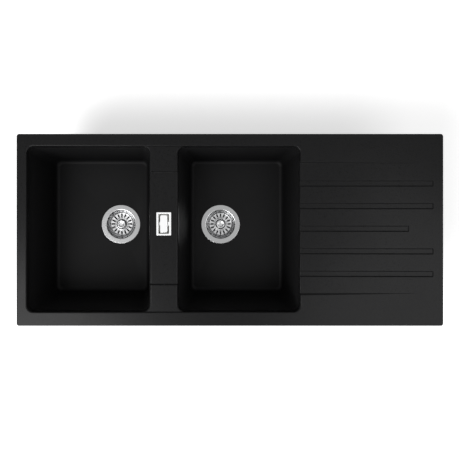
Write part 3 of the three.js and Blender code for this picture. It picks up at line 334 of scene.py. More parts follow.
@dataclass(frozen=True)
class StoneComposite(Finish):
    """Matt black resin filled with fine quartz, some grains a shade lighter, some darker."""

    slot: Slot = Slot.COMPOSITE
    resin: Colour = (0.0086, 0.0086, 0.0089)
    pale_grain: Colour = (0.034, 0.034, 0.0345)
    dark_grain: Colour = (0.0028, 0.0028, 0.0030)
    grain: float = 1.2  # spacing of the grains in millimetres
    coarse_grain: float = 2.6  # spacing of the coarse ones over that of the fine ones
    cloud_size: float = 90  # millimetres
    cloud_shade: float = 0.16  # how far a cloud darkens the colour
    depth_shade: float = 0.85  # how far the painted shade lower in the bowls goes towards the dark grain
    depth_shade_top: float = -0.02  # height in metres where the painted shade starts
    depth_shade_rate: float = 7  # shares of it gained in each metre below
    gloss: float = 0.25  # roughness of the rim
    matt: float = 0.28  # how much rougher the bowls are than the rim
    matt_top: float = -0.005  # height in metres where the rougher surface starts
    matt_rate: float = 50
    specular: float = 0.075

    def dress(self, graph: Graph) -> None:
        """Grains from two noises of close scales, a slow cloudiness, and a fine grainy bump.

        Args:
            graph: of the material.
        """
        place = graph.place()
        fine = graph.noise(place, metre_scale(self.grain), detail=3, roughness=0.7)
        coarse = graph.noise(place, metre_scale(self.grain * self.coarse_grain), detail=1)
        cloud = graph.noise(place, metre_scale(self.cloud_size), detail=2)
        pale = graph.ramp(fine, [(0.60, 0), (0.72, 1)]) * graph.ramp(coarse, [(0.42, 0.2), (0.62, 1)])
        dark = graph.ramp(coarse, [(0.30, 1), (0.42, 0)])
        resin = graph.blend(dark, self.resin, self.dark_grain)
        colour = graph.blend(pale, resin, self.pale_grain)
        shaded = graph.blend(cloud * self.cloud_shade, colour, toned(self.resin, 0.5))
        _, _, height = graph.axes(place)
        # painted shade: the colour darkens with depth in the bowls, towards the dark grain
        low = graph.ramp((self.depth_shade_top - height) * self.depth_shade_rate, [(0, 0), (1, self.depth_shade)])
        inside = graph.ramp((self.matt_top - height) * self.matt_rate, [(0, 0), (1, 1)])
        rough = self.gloss + inside * self.matt + (cloud - 0.5) * 0.05 + (fine - 0.5) * 0.12
        graph.surface({
            "Base Color": graph.blend(low, shaded, self.dark_grain),
            "Roughness": rough,
            "Specular IOR Level": self.specular,
            "Normal": graph.bump(fine + coarse * 0.6, 0.12, 0.00012),
        })


@dataclass(frozen=True)
class TurnedSteel(Finish):
    """Stainless steel brushed in circles about a drain's axis."""

    slot: Slot = Slot.BRUSHED_STEEL
    side: str = ""
    centre: tuple[float, float] = (0.0, 0.0)  # metres
    recess: float = 0.0  # height in metres of the bowl's floor round the cup
    steel: Colour = (0.37, 0.372, 0.375)
    gloss: float = 0.20
    wall_light_rate: float = 300  # how fast, per metre below the recess, the painted light on the cup's wall sets in
    # painted light: how much paler than the brushed steel the cup's wall is made
    painted_wall_light: float = 1.6
    # painted shade: the deep cup is darkened far below the recess
    cup_shade_rate: float = 25
    cup_shade_factor: float = 0.15

    @property
    def name(self) -> str:
        """One material for each drain, since the rings are centred on it."""
        return f"{self.slot.value}_{self.side}"

    def dress(self, graph: Graph) -> None:
        """Noise of the distance from the axis, drawn out along the angle about it.

        Args:
            graph: of the material.
        """
        x, y, z = graph.axes(graph.place((*self.centre, 0)))
        radius = (x * x + y * y) ** 0.5
        turn = graph.vector(radius * (1 / MM), y.angle_to(x) * 0.9, z * 600)
        rings = graph.noise(turn, 2.4, detail=4, roughness=0.7)
        wide = graph.noise(turn, 0.35, detail=1)
        light = graph.blend(rings, toned(self.steel, 0.80), toned(self.steel, 1.16))
        brushed = graph.blend(wide * 0.3, light, toned(self.steel, 0.8))
        # painted light: the cup's wall just below the recess is made paler than the brushed steel
        wall = graph.ramp((self.recess - z) * self.wall_light_rate, [(0, 0), (1, 1)])
        inside = graph.blend(wall, brushed, toned(self.steel, self.painted_wall_light))
        # painted shade: the cup darkens towards its sump, so that the basket's slots look dark
        cup_shade_mask = graph.ramp((self.recess - z) * self.cup_shade_rate, [(0.42, 0), (0.68, 1)])
        graph.surface({
            "Base Color": graph.blend(cup_shade_mask, inside, toned(self.steel, self.cup_shade_factor)),
            "Metallic": 1.0,
            "Roughness": self.gloss + (rings - 0.5) * 0.10,
            "Normal": graph.bump(rings, 0.12, 0.00006),
        })


@dataclass(frozen=True)
class PolishedSteel(Finish):
    """Polished or plated metal with faint wipe marks and water spots."""

    slot: Slot = Slot.POLISHED_STEEL
    metal: Colour = (0.40, 0.403, 0.407)
    gloss: float = 0.25
    marks: float = 0.06

    def dress(self, graph: Graph) -> None:
        """Roughness from a stretched noise, colour nearly even, a very slight waviness.

        Args:
            graph: of the material.
        """
        wipe = graph.noise(graph.place(scale=(1.0, 0.25, 1.0)), metre_scale(5), detail=3)
        spots = graph.ramp(graph.noise(graph.place(), metre_scale(7), detail=1), [(0.62, 0), (0.68, 1)])
        graph.surface({
            "Base Color": graph.blend(spots * 0.25, self.metal, toned(self.metal, 0.88)),
            "Metallic": 1.0,
            "Roughness": self.gloss + wipe * self.marks + spots * 0.05,
            "Normal": graph.bump(wipe, 0.08, 0.0002),
        })


@dataclass(frozen=True)
class ZincPlate(Finish):
    """Zinc plated steel: a dull metal with a spangle and a faint yellow cast in places."""

    slot: Slot = Slot.ZINC
    metal: Colour = (0.52, 0.53, 0.54)
    cast: Colour = (0.60, 0.56, 0.44)
    spangle: float = 2.2  # millimetres

    def dress(self, graph: Graph) -> None:
        """Cells of slightly different grey with a cloudy cast over them.

        Args:
            graph: of the material.
        """
        place = graph.place()
        sockets = {"Vector": place, "Scale": metre_scale(self.spangle)}
        cells = graph.node("ShaderNodeTexVoronoi", sockets=sockets, output="Color")
        tone, _, _ = graph.axes(cells)
        cloud = graph.noise(place, metre_scale(9), detail=3)
        grey = graph.blend(tone, toned(self.metal, 0.86), toned(self.metal, 1.1))
        graph.surface({
            "Base Color": graph.blend(graph.ramp(cloud, [(0.45, 0), (0.75, 0.5)]), grey, self.cast),
            "Metallic": 1.0,
            "Roughness": 0.34 + tone * 0.1 + cloud * 0.08,
            "Normal": graph.bump(cloud, 0.15, 0.0002),
        })


@dataclass(frozen=True)
class BlackRubber(Finish):
    """Moulded rubber with a dusty bloom."""

    slot: Slot = Slot.RUBBER
    rubber: Colour = (0.018, 0.018, 0.019)
    bloom: Colour = (0.055, 0.055, 0.054)

    def dress(self, graph: Graph) -> None:
        """A cloudy bloom over a fine matt grain.

        Args:
            graph: of the material.
        """
        place = graph.place()
        cloud = graph.noise(place, metre_scale(8), detail=4, roughness=0.65)
        grain = graph.noise(place, metre_scale(0.5), detail=2)
        dust = graph.ramp(cloud, [(0.45, 0), (0.8, 0.8)])
        graph.surface({
            "Base Color": graph.blend(dust, self.rubber, self.bloom),
            "Roughness": 0.68 + cloud * 0.15,
            "Specular IOR Level": 0.35,
            "Normal": graph.bump(grain, 0.25, 0.0001),
        })


@dataclass(frozen=True)
class MouldedPlastic(Finish):
    """Injection moulded plastic: a fine mould texture and slow flow marks."""

    slot: Slot = Slot.WHITE_PLASTIC
    plastic: Colour = (0.74, 0.74, 0.71)
    shade: Colour = (0.66, 0.655, 0.62)
    gloss: float = 0.42

    def dress(self, graph: Graph) -> None:
        """Flow marks from a warped noise, a finer one for the mould's texture.

        Args:
            graph: of the material.
        """
        place = graph.place()
        flow = graph.noise(graph.place(scale=(1.0, 1.0, 0.3)), metre_scale(16), detail=3, roughness=0.6)
        texture = graph.noise(place, metre_scale(0.45), detail=2)
        marks = graph.ramp(flow, [(0.35, 0), (0.75, 0.9)])
        graph.surface({
            "Base Color": graph.blend(marks, self.plastic, self.shade),
            "Roughness": self.gloss + flow * 0.12,
            "Specular IOR Level": 0.45,
            "Normal": graph.bump(texture + flow * 0.5, 0.12, 0.0001),
        })


COMPOSITE = StoneComposite()
POLISHED = PolishedSteel()
CHROME = PolishedSteel(slot=Slot.CHROME, metal=(0.93, 0.935, 0.94), gloss=0.12, marks=0.03)
ZINC = ZincPlate()
RUBBER = BlackRubber()
WHITE_PLASTIC = MouldedPlastic()
HOSE_PLASTIC = MouldedPlastic(
    slot=Slot.HOSE_PLASTIC, plastic=(0.66, 0.66, 0.63), shade=(0.58, 0.58, 0.55), gloss=0.36
)
NYLON = MouldedPlastic(slot=Slot.NYLON, plastic=(0.27, 0.28, 0.29), shade=(0.20, 0.21, 0.22), gloss=0.5)


# ---------------------------------------------------------------- solids worked out with numpy


ON_AXIS = 1e-6  # a radius below this lies on the axis


def round_angles(sides: int) -> Grid:
    """Equal angles round a circle, from 0."""
    return np.arange(sides) / sides * 2 * math.pi


def about_axis(radius: Numbers, angle: Grid, height: Numbers) -> Grid:
    """Points (r cos a, r sin a, h); radius, angle and height broadcast together."""
    return np.stack([radius * np.cos(angle), radius * np.sin(angle), height + 0 * angle], axis=-1)


@dataclass
class Solid:
    """A closed surface: points (n, 3) in millimetres and faces by index."""

    points: Grid
    faces: list[list[int]]

    @classmethod
    def between(cls, rings: Grid, closed: bool = False) -> "Solid":
        """A surface through a row of rings, each joined to the next by quads.

        Args:
            rings: (rings, points, 3), the same number of points in each.
            closed: the last ring joins the first, as in a tube's wall; else both ends get flat caps.

        Returns:
            The solid, with its faces turned outwards.
        """
        count, sides = rings.shape[:2]
        index = np.arange(count * sides).reshape(count, sides)
        rows = np.vstack([index, index[:1]]) if closed else index
        beside = np.roll(rows, -1, axis=1)
        quads = np.stack([rows[:-1], beside[:-1], beside[1:], rows[1:]], axis=-1)
        faces = quads.reshape(-1, 4).tolist()
        if not closed:
            faces += [index[0, ::-1].tolist(), index[-1].tolist()]
        return cls(rings.reshape(-1, 3).astype(float), faces).outwards()

    @classmethod
    def turned(cls, profile: Grid, sides: int = ROUND_SIDES) -> "Solid":
        """A profile of (radius, height) turned about Z: (r cos a, r sin a, h) for every angle a.

        Args:
            profile: (n, 2); it starts and ends on the axis, or closes on itself.
            sides: facets round the axis.

        Returns:
            The turned solid.
        """
        rings = about_axis(profile[:, :1], round_angles(sides), profile[:, 1:])
        hollow = profile[0, 0] > ON_AXIS
        solid = cls.between(rings, closed=hollow)
        if not hollow:
            solid.faces = [f for f in solid.faces if len(f) == 4]
        return solid.outwards()

    @classmethod
    def read(cls, mesh: bpy.types.Mesh) -> "Solid":
        """Reads a finished mesh in metres back as a solid, and deletes the mesh.

        Args:
            mesh: to read.

        Returns:
            The same surface in millimetres.
        """
        points = np.empty(len(mesh.vertices) * 3)
        mesh.vertices.foreach_get("co", points)
        corners = np.empty(len(mesh.loops), dtype=np.int64)
        mesh.loops.foreach_get("vertex_index", corners)
        starts = np.empty(len(mesh.polygons), dtype=np.int64)
        mesh.polygons.foreach_get("loop_start", starts)
        faces = [part.tolist() for part in np.split(corners, starts[1:])]
        bpy.data.meshes.remove(mesh)
        return cls(points.reshape(-1, 3) / MM, faces)

    def volume(self) -> float:
        """Signed volume, the sum over fans of triangles of a . (b x c) / 6.

        Returns:
            Cubic millimetres.
        """
        triangles = [(f[0], f[i], f[i + 1]) for f in self.faces for i in range(1, len(f) - 1)]
        a, b, c = (self.points[np.array(triangles)[:, k]] for k in range(3))
        return float(np.einsum("ij,ij->", a, np.cross(b, c)) / 6)

    def outwards(self) -> "Solid":
        """The same solid with its faces turned outwards."""
        if self.volume() < 0:
            self.faces = [face[::-1] for face in self.faces]
        return self

    def moved(self, x: float = 0, y: float = 0, z: float = 0) -> "Solid":
        """A copy moved by millimetres."""
        return Solid(self.points + np.array([x, y, z]), self.faces)

    def spun(self, degrees: float) -> "Solid":
        """A copy turned about Z.

        Args:
            degrees: anticlockwise, seen from above.

        Returns:
            The copy.
        """
        a = math.radians(degrees)
        turn = np.array([[math.cos(a), -math.sin(a), 0], [math.sin(a), math.cos(a), 0], [0, 0, 1]])
        return Solid(self.points @ turn.T, self.faces)

    def laid(self) -> "Solid":
        """A copy turned about Y so that its Z axis points along +X."""
        x, y, z = self.points.T
        return Solid(np.stack([z, y, -x], axis=-1), self.faces)

    def mesh(self, name: str = "form") -> bpy.types.Mesh:
        """The solid as a mesh in metres, with doubled points at poles merged.

        Args:
            name: of the mesh.

        Returns:
            The mesh.
        """
        mesh = bpy.data.meshes.new(name)
        mesh.from_pydata((self.points * MM).tolist(), [], self.faces)
        work = bmesh.new()
        work.from_mesh(mesh)
        bmesh.ops.remove_doubles(work, verts=work.verts, dist=1e-7)
        work.to_mesh(mesh)
        work.free()
        return mesh


def put(name: str, data: bpy.types.ID) -> bpy.types.Object:
    """A new object of some data, linked to the scene.

    Args:
        name: of the object.
        data: a mesh, a lamp or a camera.

    Returns:
        The object.
    """
    made = bpy.data.objects.new(name, data)
    bpy.context.scene.collection.objects.link(made)
    return made


class Form:
    """A mesh in the making: solids are added to it, cut from it or kept from it, in order."""

    def __init__(self, solid: Solid) -> None:
        """Starts from one solid."""
        self.base = solid
        self.steps: list[tuple[Combine, Solid]] = []

    def add(self, *solids: Solid) -> "Form":
        """Joins solids to the form."""
        self.steps += [(Combine.ADD, solid) for solid in solids]
        return self

    def cut(self, *solids: Solid) -> "Form":
        """Cuts solids out of the form."""
        self.steps += [(Combine.CUT, solid) for solid in solids]
        return self

    def keep(self, solid: Solid) -> "Form":
        """Keeps only what lies inside a solid."""
        self.steps.append((Combine.KEEP, solid))
        return self

    def mesh(self) -> bpy.types.Mesh:
        """Runs the steps as Boolean modifiers.

        Returns:
            The finished mesh, in metres, with its steps applied.
        """
        base = put("form", self.base.mesh())
        tools = []
        for step, solid in self.steps:
            tools.append(put("tool", solid.mesh("tool")))
            modifier = base.modifiers.new("step", "BOOLEAN")
            modifier.operation = step.value
            modifier.solver = "MANIFOLD"
            modifier.object = tools[-1]
        graph = bpy.context.evaluated_depsgraph_get()
        mesh = bpy.data.meshes.new_from_object(base.evaluated_get(graph))
        for spent in (base, *tools):
            data = spent.data
            bpy.data.objects.remove(spent)
            bpy.data.meshes.remove(data)
        return mesh

    def solid(self) -> Solid:
        """The finished form as a solid, so that it can be joined to another form."""
        return Solid.read(self.mesh())


def rounded_rings(
    x0: Numbers,
    x1: Numbers,
    y0: Numbers,
    y1: Numbers,
    corner: Numbers,
    z: Numbers,
    steps: int = CORNER_STEPS,
    along: int = 0,
) -> Grid:
    """Rings of a rectangle with rounded corners, one for each height.

    A corner's points are its centre plus its radius times (cos a, sin a) over a quarter turn, and
    points along a straight side share it out evenly.

    Args:
        x0, x1, y0, y1: the sides, each a number or one for each height.
        corner: radius of the corners.
        z: the heights.
        steps: facets round a corner.
        along: points added along each straight side.

    Returns:
        (heights, points, 3).
    """
    z = np.atleast_1d(np.asarray(z, float))
    x0, x1, y0, y1, corner = (
        np.broadcast_to(np.asarray(v, float), z.shape)[:, None, None]
        for v in (x0, x1, y0, y1, corner)
    )
    angle = (np.arange(4)[:, None] + np.linspace(0, 1, steps + 1)) * math.pi / 2
    right = np.array([True, False, False, True])[:, None]
    back = np.array([True, True, False, False])[:, None]
    x = np.where(right, x1 - corner, x0 + corner) + corner * np.cos(angle)
    y = np.where(back, y1 - corner, y0 + corner) + corner * np.sin(angle)
    arcs = np.stack([x, y, np.broadcast_to(z[:, None, None], x.shape)], axis=-1)
    start, end = arcs[:, :, -1:], np.roll(arcs[:, :, :1], -1, axis=1)
    share = (np.arange(1, along + 1) / (along + 1))[:, None]
    return np.concatenate([arcs, start + (end - start) * share], axis=2).reshape(len(z), -1, 3)


def edge(distance: Numbers, radius: float) -> Grid:
    """How far a rounded edge stands off its wall.

    The stand-off is radius - sqrt(radius^2 - (radius - distance)^2), which is the radius at the
    edge itself and nothing from one radius away.

    Args:
        distance: from the edge, along the wall.
        radius: of the edge.

    Returns:
        The stand-off for each distance.
    """
    run = np.clip(radius - np.asarray(distance, float), 0, radius)
    return radius - np.sqrt(radius**2 - run**2)


def quarter(radius: float, steps: int = ARC_STEPS) -> Grid:
    """Distances at equal angles round a quarter circle: radius x (1 - cos a)."""
    return radius * (1 - np.cos(np.linspace(0, math.pi / 2, steps + 1)))


def falling(*heights: Numbers) -> Grid:
    """All the heights from the highest down, without near repeats."""
    values = np.sort(np.concatenate([np.atleast_1d(h) for h in heights]).astype(float))[::-1]
    return values[np.append(True, values[:-1] - values[1:] > 0.02)]


def softened(corners: Sequence[Corner], steps: int = 6) -> Grid:
    """A closed outline with its corners rounded.

    A corner's arc is the parabola (1-s)^2 before + 2s(1-s) corner + s^2 after, where before and
    after lie a cut away from the corner on its two sides.

    Args:
        corners: (a, b, cut) for each corner; a cut of 0 leaves it sharp.
        steps: facets round each corner.

    Returns:
        (n, 2) points without repeats.
    """
    table = np.array(corners, float)
    point, cut = table[:, :2], table[:, 2:]
    arms = [np.roll(point, turn, axis=0) - point for turn in (1, -1)]
    lengths = [np.maximum(np.linalg.norm(arm, axis=1, keepdims=True), 1e-9) for arm in arms]
    before, after = (
        (point + arm / length * np.minimum(cut, length / 2))[:, None]
        for arm, length in zip(arms, lengths)
    )
    s = np.linspace(0, 1, steps + 1)[None, :, None]
    path = (1 - s) ** 2 * before + 2 * s * (1 - s) * point[:, None] + s**2 * after
    path = path.reshape(-1, 2)
    return path[np.linalg.norm(path - np.roll(path, 1, axis=0), axis=1) > 1e-5]


def pressed(corners: Sequence[Corner], steps: int = 6) -> Grid:
    """A softened outline whose first and last corners stay where they are, on the axis.

    Args:
        corners: as for softened.
        steps: facets round each corner.

    Returns:
        (n, 2) points, from the first corner on.
    """
    path = softened(corners, steps)
    first = int(np.argmin(np.linalg.norm(path - np.array(corners[0][:2]), axis=1)))
    return np.roll(path, -first, axis=0)


def ring(
    inner: float, outer: float, low: float, high: float, cut: float, sides: int = ROUND_SIDES
) -> Solid:
    """A round washer with softened edges."""
    corners = [(inner, low, cut), (outer, low, cut), (outer, high, cut), (inner, high, cut)]
    return Solid.turned(softened(corners, 3), sides)


def bar(
    radius: float, low: float, high: float, cut: float = 0.0, sides: int = FITTING_SIDES
) -> Solid:
    """A round bar along Z with softened ends."""
    corners = [(0, low, 0), (radius, low, cut), (radius, high, cut), (0, high, 0)]
    return Solid.turned(pressed(corners, 3), sides)


def hose_tail(radius: float, start: float, end: float) -> Solid:
    """A spigot along Z whose end has the two barbs that hold a hose."""
    back = math.copysign(1, start - end)
    return Solid.turned(pressed([
        (0, start, 0),
        (radius, start, 0),
        (radius, end + 8 * back, 0.2),
        (radius + 0.35, end + 7.5 * back, 0.2),
        (radius - 0.4, end + 4 * back, 0.2),
        (radius + 0.2, end + 3.6 * back, 0.2),
        (radius - 0.8, end, 0.3),
        (0, end, 0),
    ]), FITTING_SIDES)


def block(low: Sequence[float], high: Sequence[float], corner: float = 0.3) -> Solid:
    """A block with rounded upright edges."""
    rings = rounded_rings(low[0], high[0], low[1], high[1], corner, (low[2], high[2]), steps=4)
    return Solid.between(rings)


def cross(reach: float, half: float, low: float, high: float, corner: float) -> tuple[Solid, Solid]:
    """The two slots of the cross in a screw's head, by their reach and half width."""
    slot = block([-reach, -half, low], [reach, half, high], corner)
    return slot, slot.spun(90)


def prism(outline: Grid, low: float, high: float, axis: int = 1) -> Solid:
    """An outline carried from low to high along an axis: 0 is X, 1 is Y and 2 is Z."""
    return Solid.between(np.stack([np.insert(outline, axis, end, axis=1) for end in (low, high)]))


def threaded(
    radius: float,
    depth: float,
    pitch: float,
    low: float,
    high: float,
    sides: int = SCREW_SIDES,
    steps: int = 6,
) -> Solid:
    """A bar with a screw thread.

    Its radius at height z and angle a is radius - depth x |2 frac(z / pitch - a / 2 pi) - 1|,
    eased to the core at both ends.

    Args:
        radius: over the crests.
        depth: of the thread.
        pitch: from crest to crest.
        low, high: its ends.
        sides: facets round it.
        steps: rings for each pitch.

    Returns:
        The threaded bar.
    """
    z = np.linspace(low, high, max(2, round((high - low) / pitch * steps)) + 1)[:, None]
    angle = round_angles(sides)[None, :]
    wave = np.abs(2 * np.mod(z / pitch - angle / (2 * math.pi), 1) - 1)
    ease = np.clip(np.minimum(z - low, high - z) / pitch, 0, 1)
    reach = radius - depth * (1 - (1 - wave) * ease)
    return Solid.between(about_axis(reach, angle, z))


@dataclass(frozen=True)
class PanScrew:
    """A screw along Z with a rounded head and a cross recess."""

    radius: float
    thread: tuple[float, float]  # depth and pitch
    head: float  # radius of the head
    side: float  # height of its side
    crown: float  # radius of its flat top
    height: float
    rolls: tuple[float, float]  # rounding of its side and of its top
    neck: float  # how far the thread runs into it
    recess: tuple[float, float, float, float, float]  # reach, half width, floor, top, rounding

    def mesh(self, tip: float, seat: float) -> bpy.types.Mesh:
        """The screw from its tip up to its head, whose underside is at the seat's height.

        Args:
            tip: height of the screw's end.
            seat: height of its head's underside.

        Returns:
            The screw about Z.
        """
        form = Form(Solid.turned(pressed([
            (0, seat, 0),
            (self.head, seat, 0.2),
            (self.head, seat + self.side, self.rolls[0]),
            (self.crown, seat + self.height, self.rolls[1]),
            (0, seat + self.height, 0),
        ]), FITTING_SIDES))
        form.add(threaded(self.radius, *self.thread, tip, seat + self.neck))
        reach, half, floor, top, corner = self.recess
        return form.cut(*cross(reach, half, seat + floor, seat + top, corner)).mesh()


def at_heights(plan: Grid, heights: Grid) -> Grid:
    """Rings of plan points (rings, points, 2) with one height given to each ring."""
    heights = np.broadcast_to(heights.reshape(-1, 1, 1), (*plan.shape[:2], 1))
    return np.concatenate([plan, heights], axis=2)


# ---------------------------------------------------------------- placing pieces


@dataclass
class Bench:
    """Puts finished meshes into the scene and keeps count of them."""

    count: int = 0
    triangles: int = 0

    def place(
        self,
        name: str,
        mesh: bpy.types.Mesh,
        body: str,
        finish: Finish,
        at: Matrix | None = None,
        sharp: float = FITTING_SHARP,
        even: bool = False,
    ) -> bpy.types.Object:
        """Makes one piece that stands for the CAD node of the same name.

        Args:
            name: of the node; the piece's own name gets a suffix.
            mesh: in metres.
            body: that it moves with.
            finish: of its surface.
            at: where the mesh is put, if it was made about another place.
            sharp: edges that turn by more degrees than this stay sharp.
            even: flat faces keep a flat shade beside their rounded edges.

        Returns:
            The piece.
        """
        if at is not None:
            mesh.transform(at)
        mesh.shade_smooth()
        mesh.set_sharp_from_angle(angle=math.radians(sharp))
        mesh.materials.clear()
        mesh.materials.append(finish.material())
        piece = put(f"{name}_fine", mesh)
        if even:
            piece.modifiers.new("even_shade", "WEIGHTED_NORMAL").keep_sharp = True
        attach(piece, body)
        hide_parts(name)
        mesh.calc_loop_triangles()
        self.count += 1
        self.triangles += len(mesh.loop_triangles)
        log.info("%-24s %-13s %6d triangles", name, body, len(mesh.loop_triangles))
        return piece


def node_box(node: str) -> tuple[Grid, Grid]:
    """Lowest and highest corner of a CAD node, in millimetres."""
    low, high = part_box(node)
    return np.array(low) / MM, np.array(high) / MM


def node_centre(node: str) -> Grid:
    """Centre of a CAD node's box, in millimetres."""
    low, high = node_box(node)
    return (low + high) / 2


def at_point(x: float, y: float, z: float) -> Matrix:
    """The matrix that moves a mesh to a point given in millimetres."""
    return Matrix.Translation(Vector((x, y, z)) * MM)


# ---------------------------------------------------------------- sink body


@dataclass
class SinkBody:
    """The moulded body: rim, two drafted bowls, divider with landings and saddle, grooved drainer."""

    low: Grid
    high: Grid
    drains: dict[Side, Grid]  # centre of each drain and the height of its recess
    outline_corner: float = 7
    rim_edge: float = 2.5
    left_rim: float = 27
    back_rim: float = 33
    front_rim: float = 37
    bowl_length: float = 335
    divider_width: float = 75
    bowl_corner: float = 20
    corner_ease: float = 0.8
    draft: float = 0.13
    bowl_lip: float = 2.5
    bowl_depth: float = 200
    floor_fillet: float = 12
    floor_fall: float = 3
    wall: float = 8
    outer_fillet: float = 18
    landing_drop: float = 5
    saddle_drop: float = 5
    back_landing: float = 67
    front_landing: float = 72
    divider_lip: float = 5
    saddle_ramp: float = 5
    tap_hole: float = 35
    tap_hole_skin: float = 5
    tap_hole_inset: float = 36
    field_end: float = 62
    field_back: float = 81
    field_front: float = 89
    field_drop: float = 6
    field_side: float = 6.5  # run of the field's sides at the bowl
    field_side_end: float = 0.1  # share of it left at the far end
    groove_count: int = 5
    groove_pitch: float = 61.5
    groove_width: float = 16
    groove_floor: float = 12
    groove_depth: float = 3
    groove_edge: float = 0.7  # rounding of a groove's edges
    groove_end: float = 27
    short_groove_end: float = 93
    groove_offset: float = 3
    drainer_plate: float = 8
    cut_out_overlap: float = 10
    tray_gap: float = 4
    tray_depth: float = 12
    tray_skirt: float = 10
    tray_draft: float = 1
    recess_radius: float = 60
    recess_lip: float = 0.8
    hole_radius: float = 45.5
    lug_width: float = 24
    lug_depth: float = 20
    lug_reach: float = 16
    lug_gap: float = 3
    lug_corner: float = 3
    insert_radius: float = 4.3
    insert_length: float = 13.3
    mouth: tuple[float, float] = (32, 57)  # hole for the overflow's frame

    def __post_init__(self) -> None:
        """Works out the heights and lines that the pieces share."""
        self.top = self.high[2]
        self.floor = self.top - self.bowl_depth
        self.underside = self.low[2]
        self.landing = self.top - self.landing_drop
        self.saddle = self.landing - self.saddle_drop
        self.back_wall = self.high[1] - self.back_rim
        self.front_wall = self.low[1] + self.front_rim
        first = self.low[0] + self.left_rim
        step = self.bowl_length + self.divider_width
        self.bowls = {
            Side.LEFT: (first, first + self.bowl_length),
            Side.RIGHT: (first + step, first + step + self.bowl_length),
        }
        self.divider = (self.bowls[Side.LEFT][1], self.bowls[Side.RIGHT][0])
        self.field_x = (self.bowls[Side.RIGHT][1], self.high[0] - self.field_end)

    def lean(self, z: Numbers) -> Grid:
        """How far a bowl's wall has leaned in at a height: draft x depth."""
        return self.draft * (self.top - np.asarray(z, float))

    def field_height(self, x: Numbers) -> Grid:
        """Height of the drainer's field: it falls evenly from its end to the bowl.

        Args:
            x: places along the drainer.

        Returns:
            The height at each place.
        """
        near, far = self.field_x
        slope = self.field_drop / (far - near)
        return self.top - slope * np.maximum(0, far - np.asarray(x, float))

    def outline(self, inset: Grid, corner: Numbers, z: Numbers) -> Solid:
        """The body's outline, drawn in by an inset at each height.

        Args:
            inset: at each height.
            corner: radius of the corners.
            z: the heights.

        Returns:
            The solid.
        """
        (x0, y0), (x1, y1) = self.low[:2], self.high[:2]
        rings = rounded_rings(x0 + inset, x1 - inset, y0 + inset, y1 - inset, corner, z)
        return Solid.between(rings)

    def rim_plate(self) -> Solid:
        """The plate of the rim, its outer edge rounded by the edge formula.

        Returns:
            The plate.
        """
        z = np.append(0, self.top - quarter(self.rim_edge)[::-1])
        inset = edge(self.top - z, self.rim_edge)
        return self.outline(inset, self.outline_corner - inset, z)

    def tray(self) -> Solid:
        """The tray under the rim, drafted on its sides."""
        inset = self.cut_out_overlap + self.tray_gap + np.array([self.tray_draft, 0])
        return self.outline(inset, self.outline_corner, (-self.tray_depth, PAST))

    def hollow(self) -> Solid:
        """The hollow under the drainer; its ceiling keeps one thickness under the grooves.

        Returns:
            The space in it.
        """
        inset = self.cut_out_overlap + self.tray_gap + self.tray_skirt
        x0, x1 = self.field_x[0] + self.wall + self.tray_skirt, self.high[0] - inset
        y0, y1 = self.low[1] + inset, self.high[1] - inset
        lean = np.array([0, self.tray_draft])
        z = (-self.tray_depth - PAST, 0)
        rings = rounded_rings(
            x0 + lean, x1 - lean, y0 + lean, y1 - lean, self.bowl_corner, z, along=12
        )
        rings[1, :, 2] = self.field_height(rings[1, :, 0]) - self.groove_depth - self.drainer_plate
        return Solid.between(rings)

    def shell(self, side: Side) -> Solid:
        """The outside of one bowl, a wall's thickness from its inside, with a round foot.

        Args:
            side: which bowl.

        Returns:
            The filled outside.
        """
        x0, x1 = self.bowls[side]
        z = np.append(PAST, self.underside + quarter(self.outer_fillet)[::-1])
        turn = edge(z - self.underside, self.outer_fillet)
        inset = self.lean(z) + turn - self.wall
        y0, y1 = self.front_wall + inset, self.back_wall - inset
        corner = self.bowl_corner + self.wall - turn
        return Solid.between(rounded_rings(x0 + inset, x1 - inset, y0, y1, corner, z))

    def bowl(self, side: Side) -> Solid:
        """The space in one bowl with the recess and the hole of its drain.

        Each wall's inset at height z is lean(z) + fillet - lip, by the edge formula; on the
        divider's side a larger flare takes the lip's place. From the foot of the fillet the floor
        dishes down to the recess: its points go straight to the nearest point of the recess's
        circle while the height eases by s^2 (3 - 2 s).

        Args:
            side: which bowl.

        Returns:
            The space as a solid, run on past the rim and the underside.
        """
        x0, x1 = self.bowls[side]
        drain = self.drains[side]
        z = falling(
            self.top + PAST,
            self.top - quarter(self.bowl_lip),
            self.landing - quarter(self.divider_lip),
            np.linspace(self.landing - self.divider_lip, self.floor + self.floor_fillet, 5),
            self.floor + quarter(self.floor_fillet, 10),
        )
        turn = edge(z - self.floor, self.floor_fillet)
        lip = edge(self.top - z, self.bowl_lip)
        inset = self.lean(z) + turn - lip
        flare = edge(self.landing - z, self.divider_lip) - lip
        on_right = side is Side.LEFT
        walls = rounded_rings(
            x0 + inset - (0 if on_right else flare),
            x1 - inset + (flare if on_right else 0),
            self.front_wall + inset,
            self.back_wall - inset,
            self.bowl_corner - self.corner_ease * turn,
            z,
            along=8,
        )
        foot = walls[-1, :, :2]
        away = foot - drain[:2]
        away /= np.linalg.norm(away, axis=1, keepdims=True)
        brink = self.recess_radius + self.recess_lip
        share = np.linspace(0, 1, 13)[1:, None, None]
        fall = self.floor - self.floor_fall * share**2 * (3 - 2 * share)
        dish = at_heights(foot + (drain[:2] + away * brink - foot) * share, fall)
        drop = quarter(self.recess_lip, 3)[1:]
        lip_radius = self.recess_radius + edge(drop, self.recess_lip)
        hole = [self.recess_radius, self.hole_radius, self.hole_radius]
        radius = np.concatenate([lip_radius, hole])[:, None, None]
        low = self.floor - self.floor_fall
        height = np.concatenate([low - drop, [drain[2], drain[2], self.underside - PAST]])
        pipe = at_heights(drain[:2] + away * radius, height)
        return Solid.between(np.concatenate([walls, dish, pipe]))

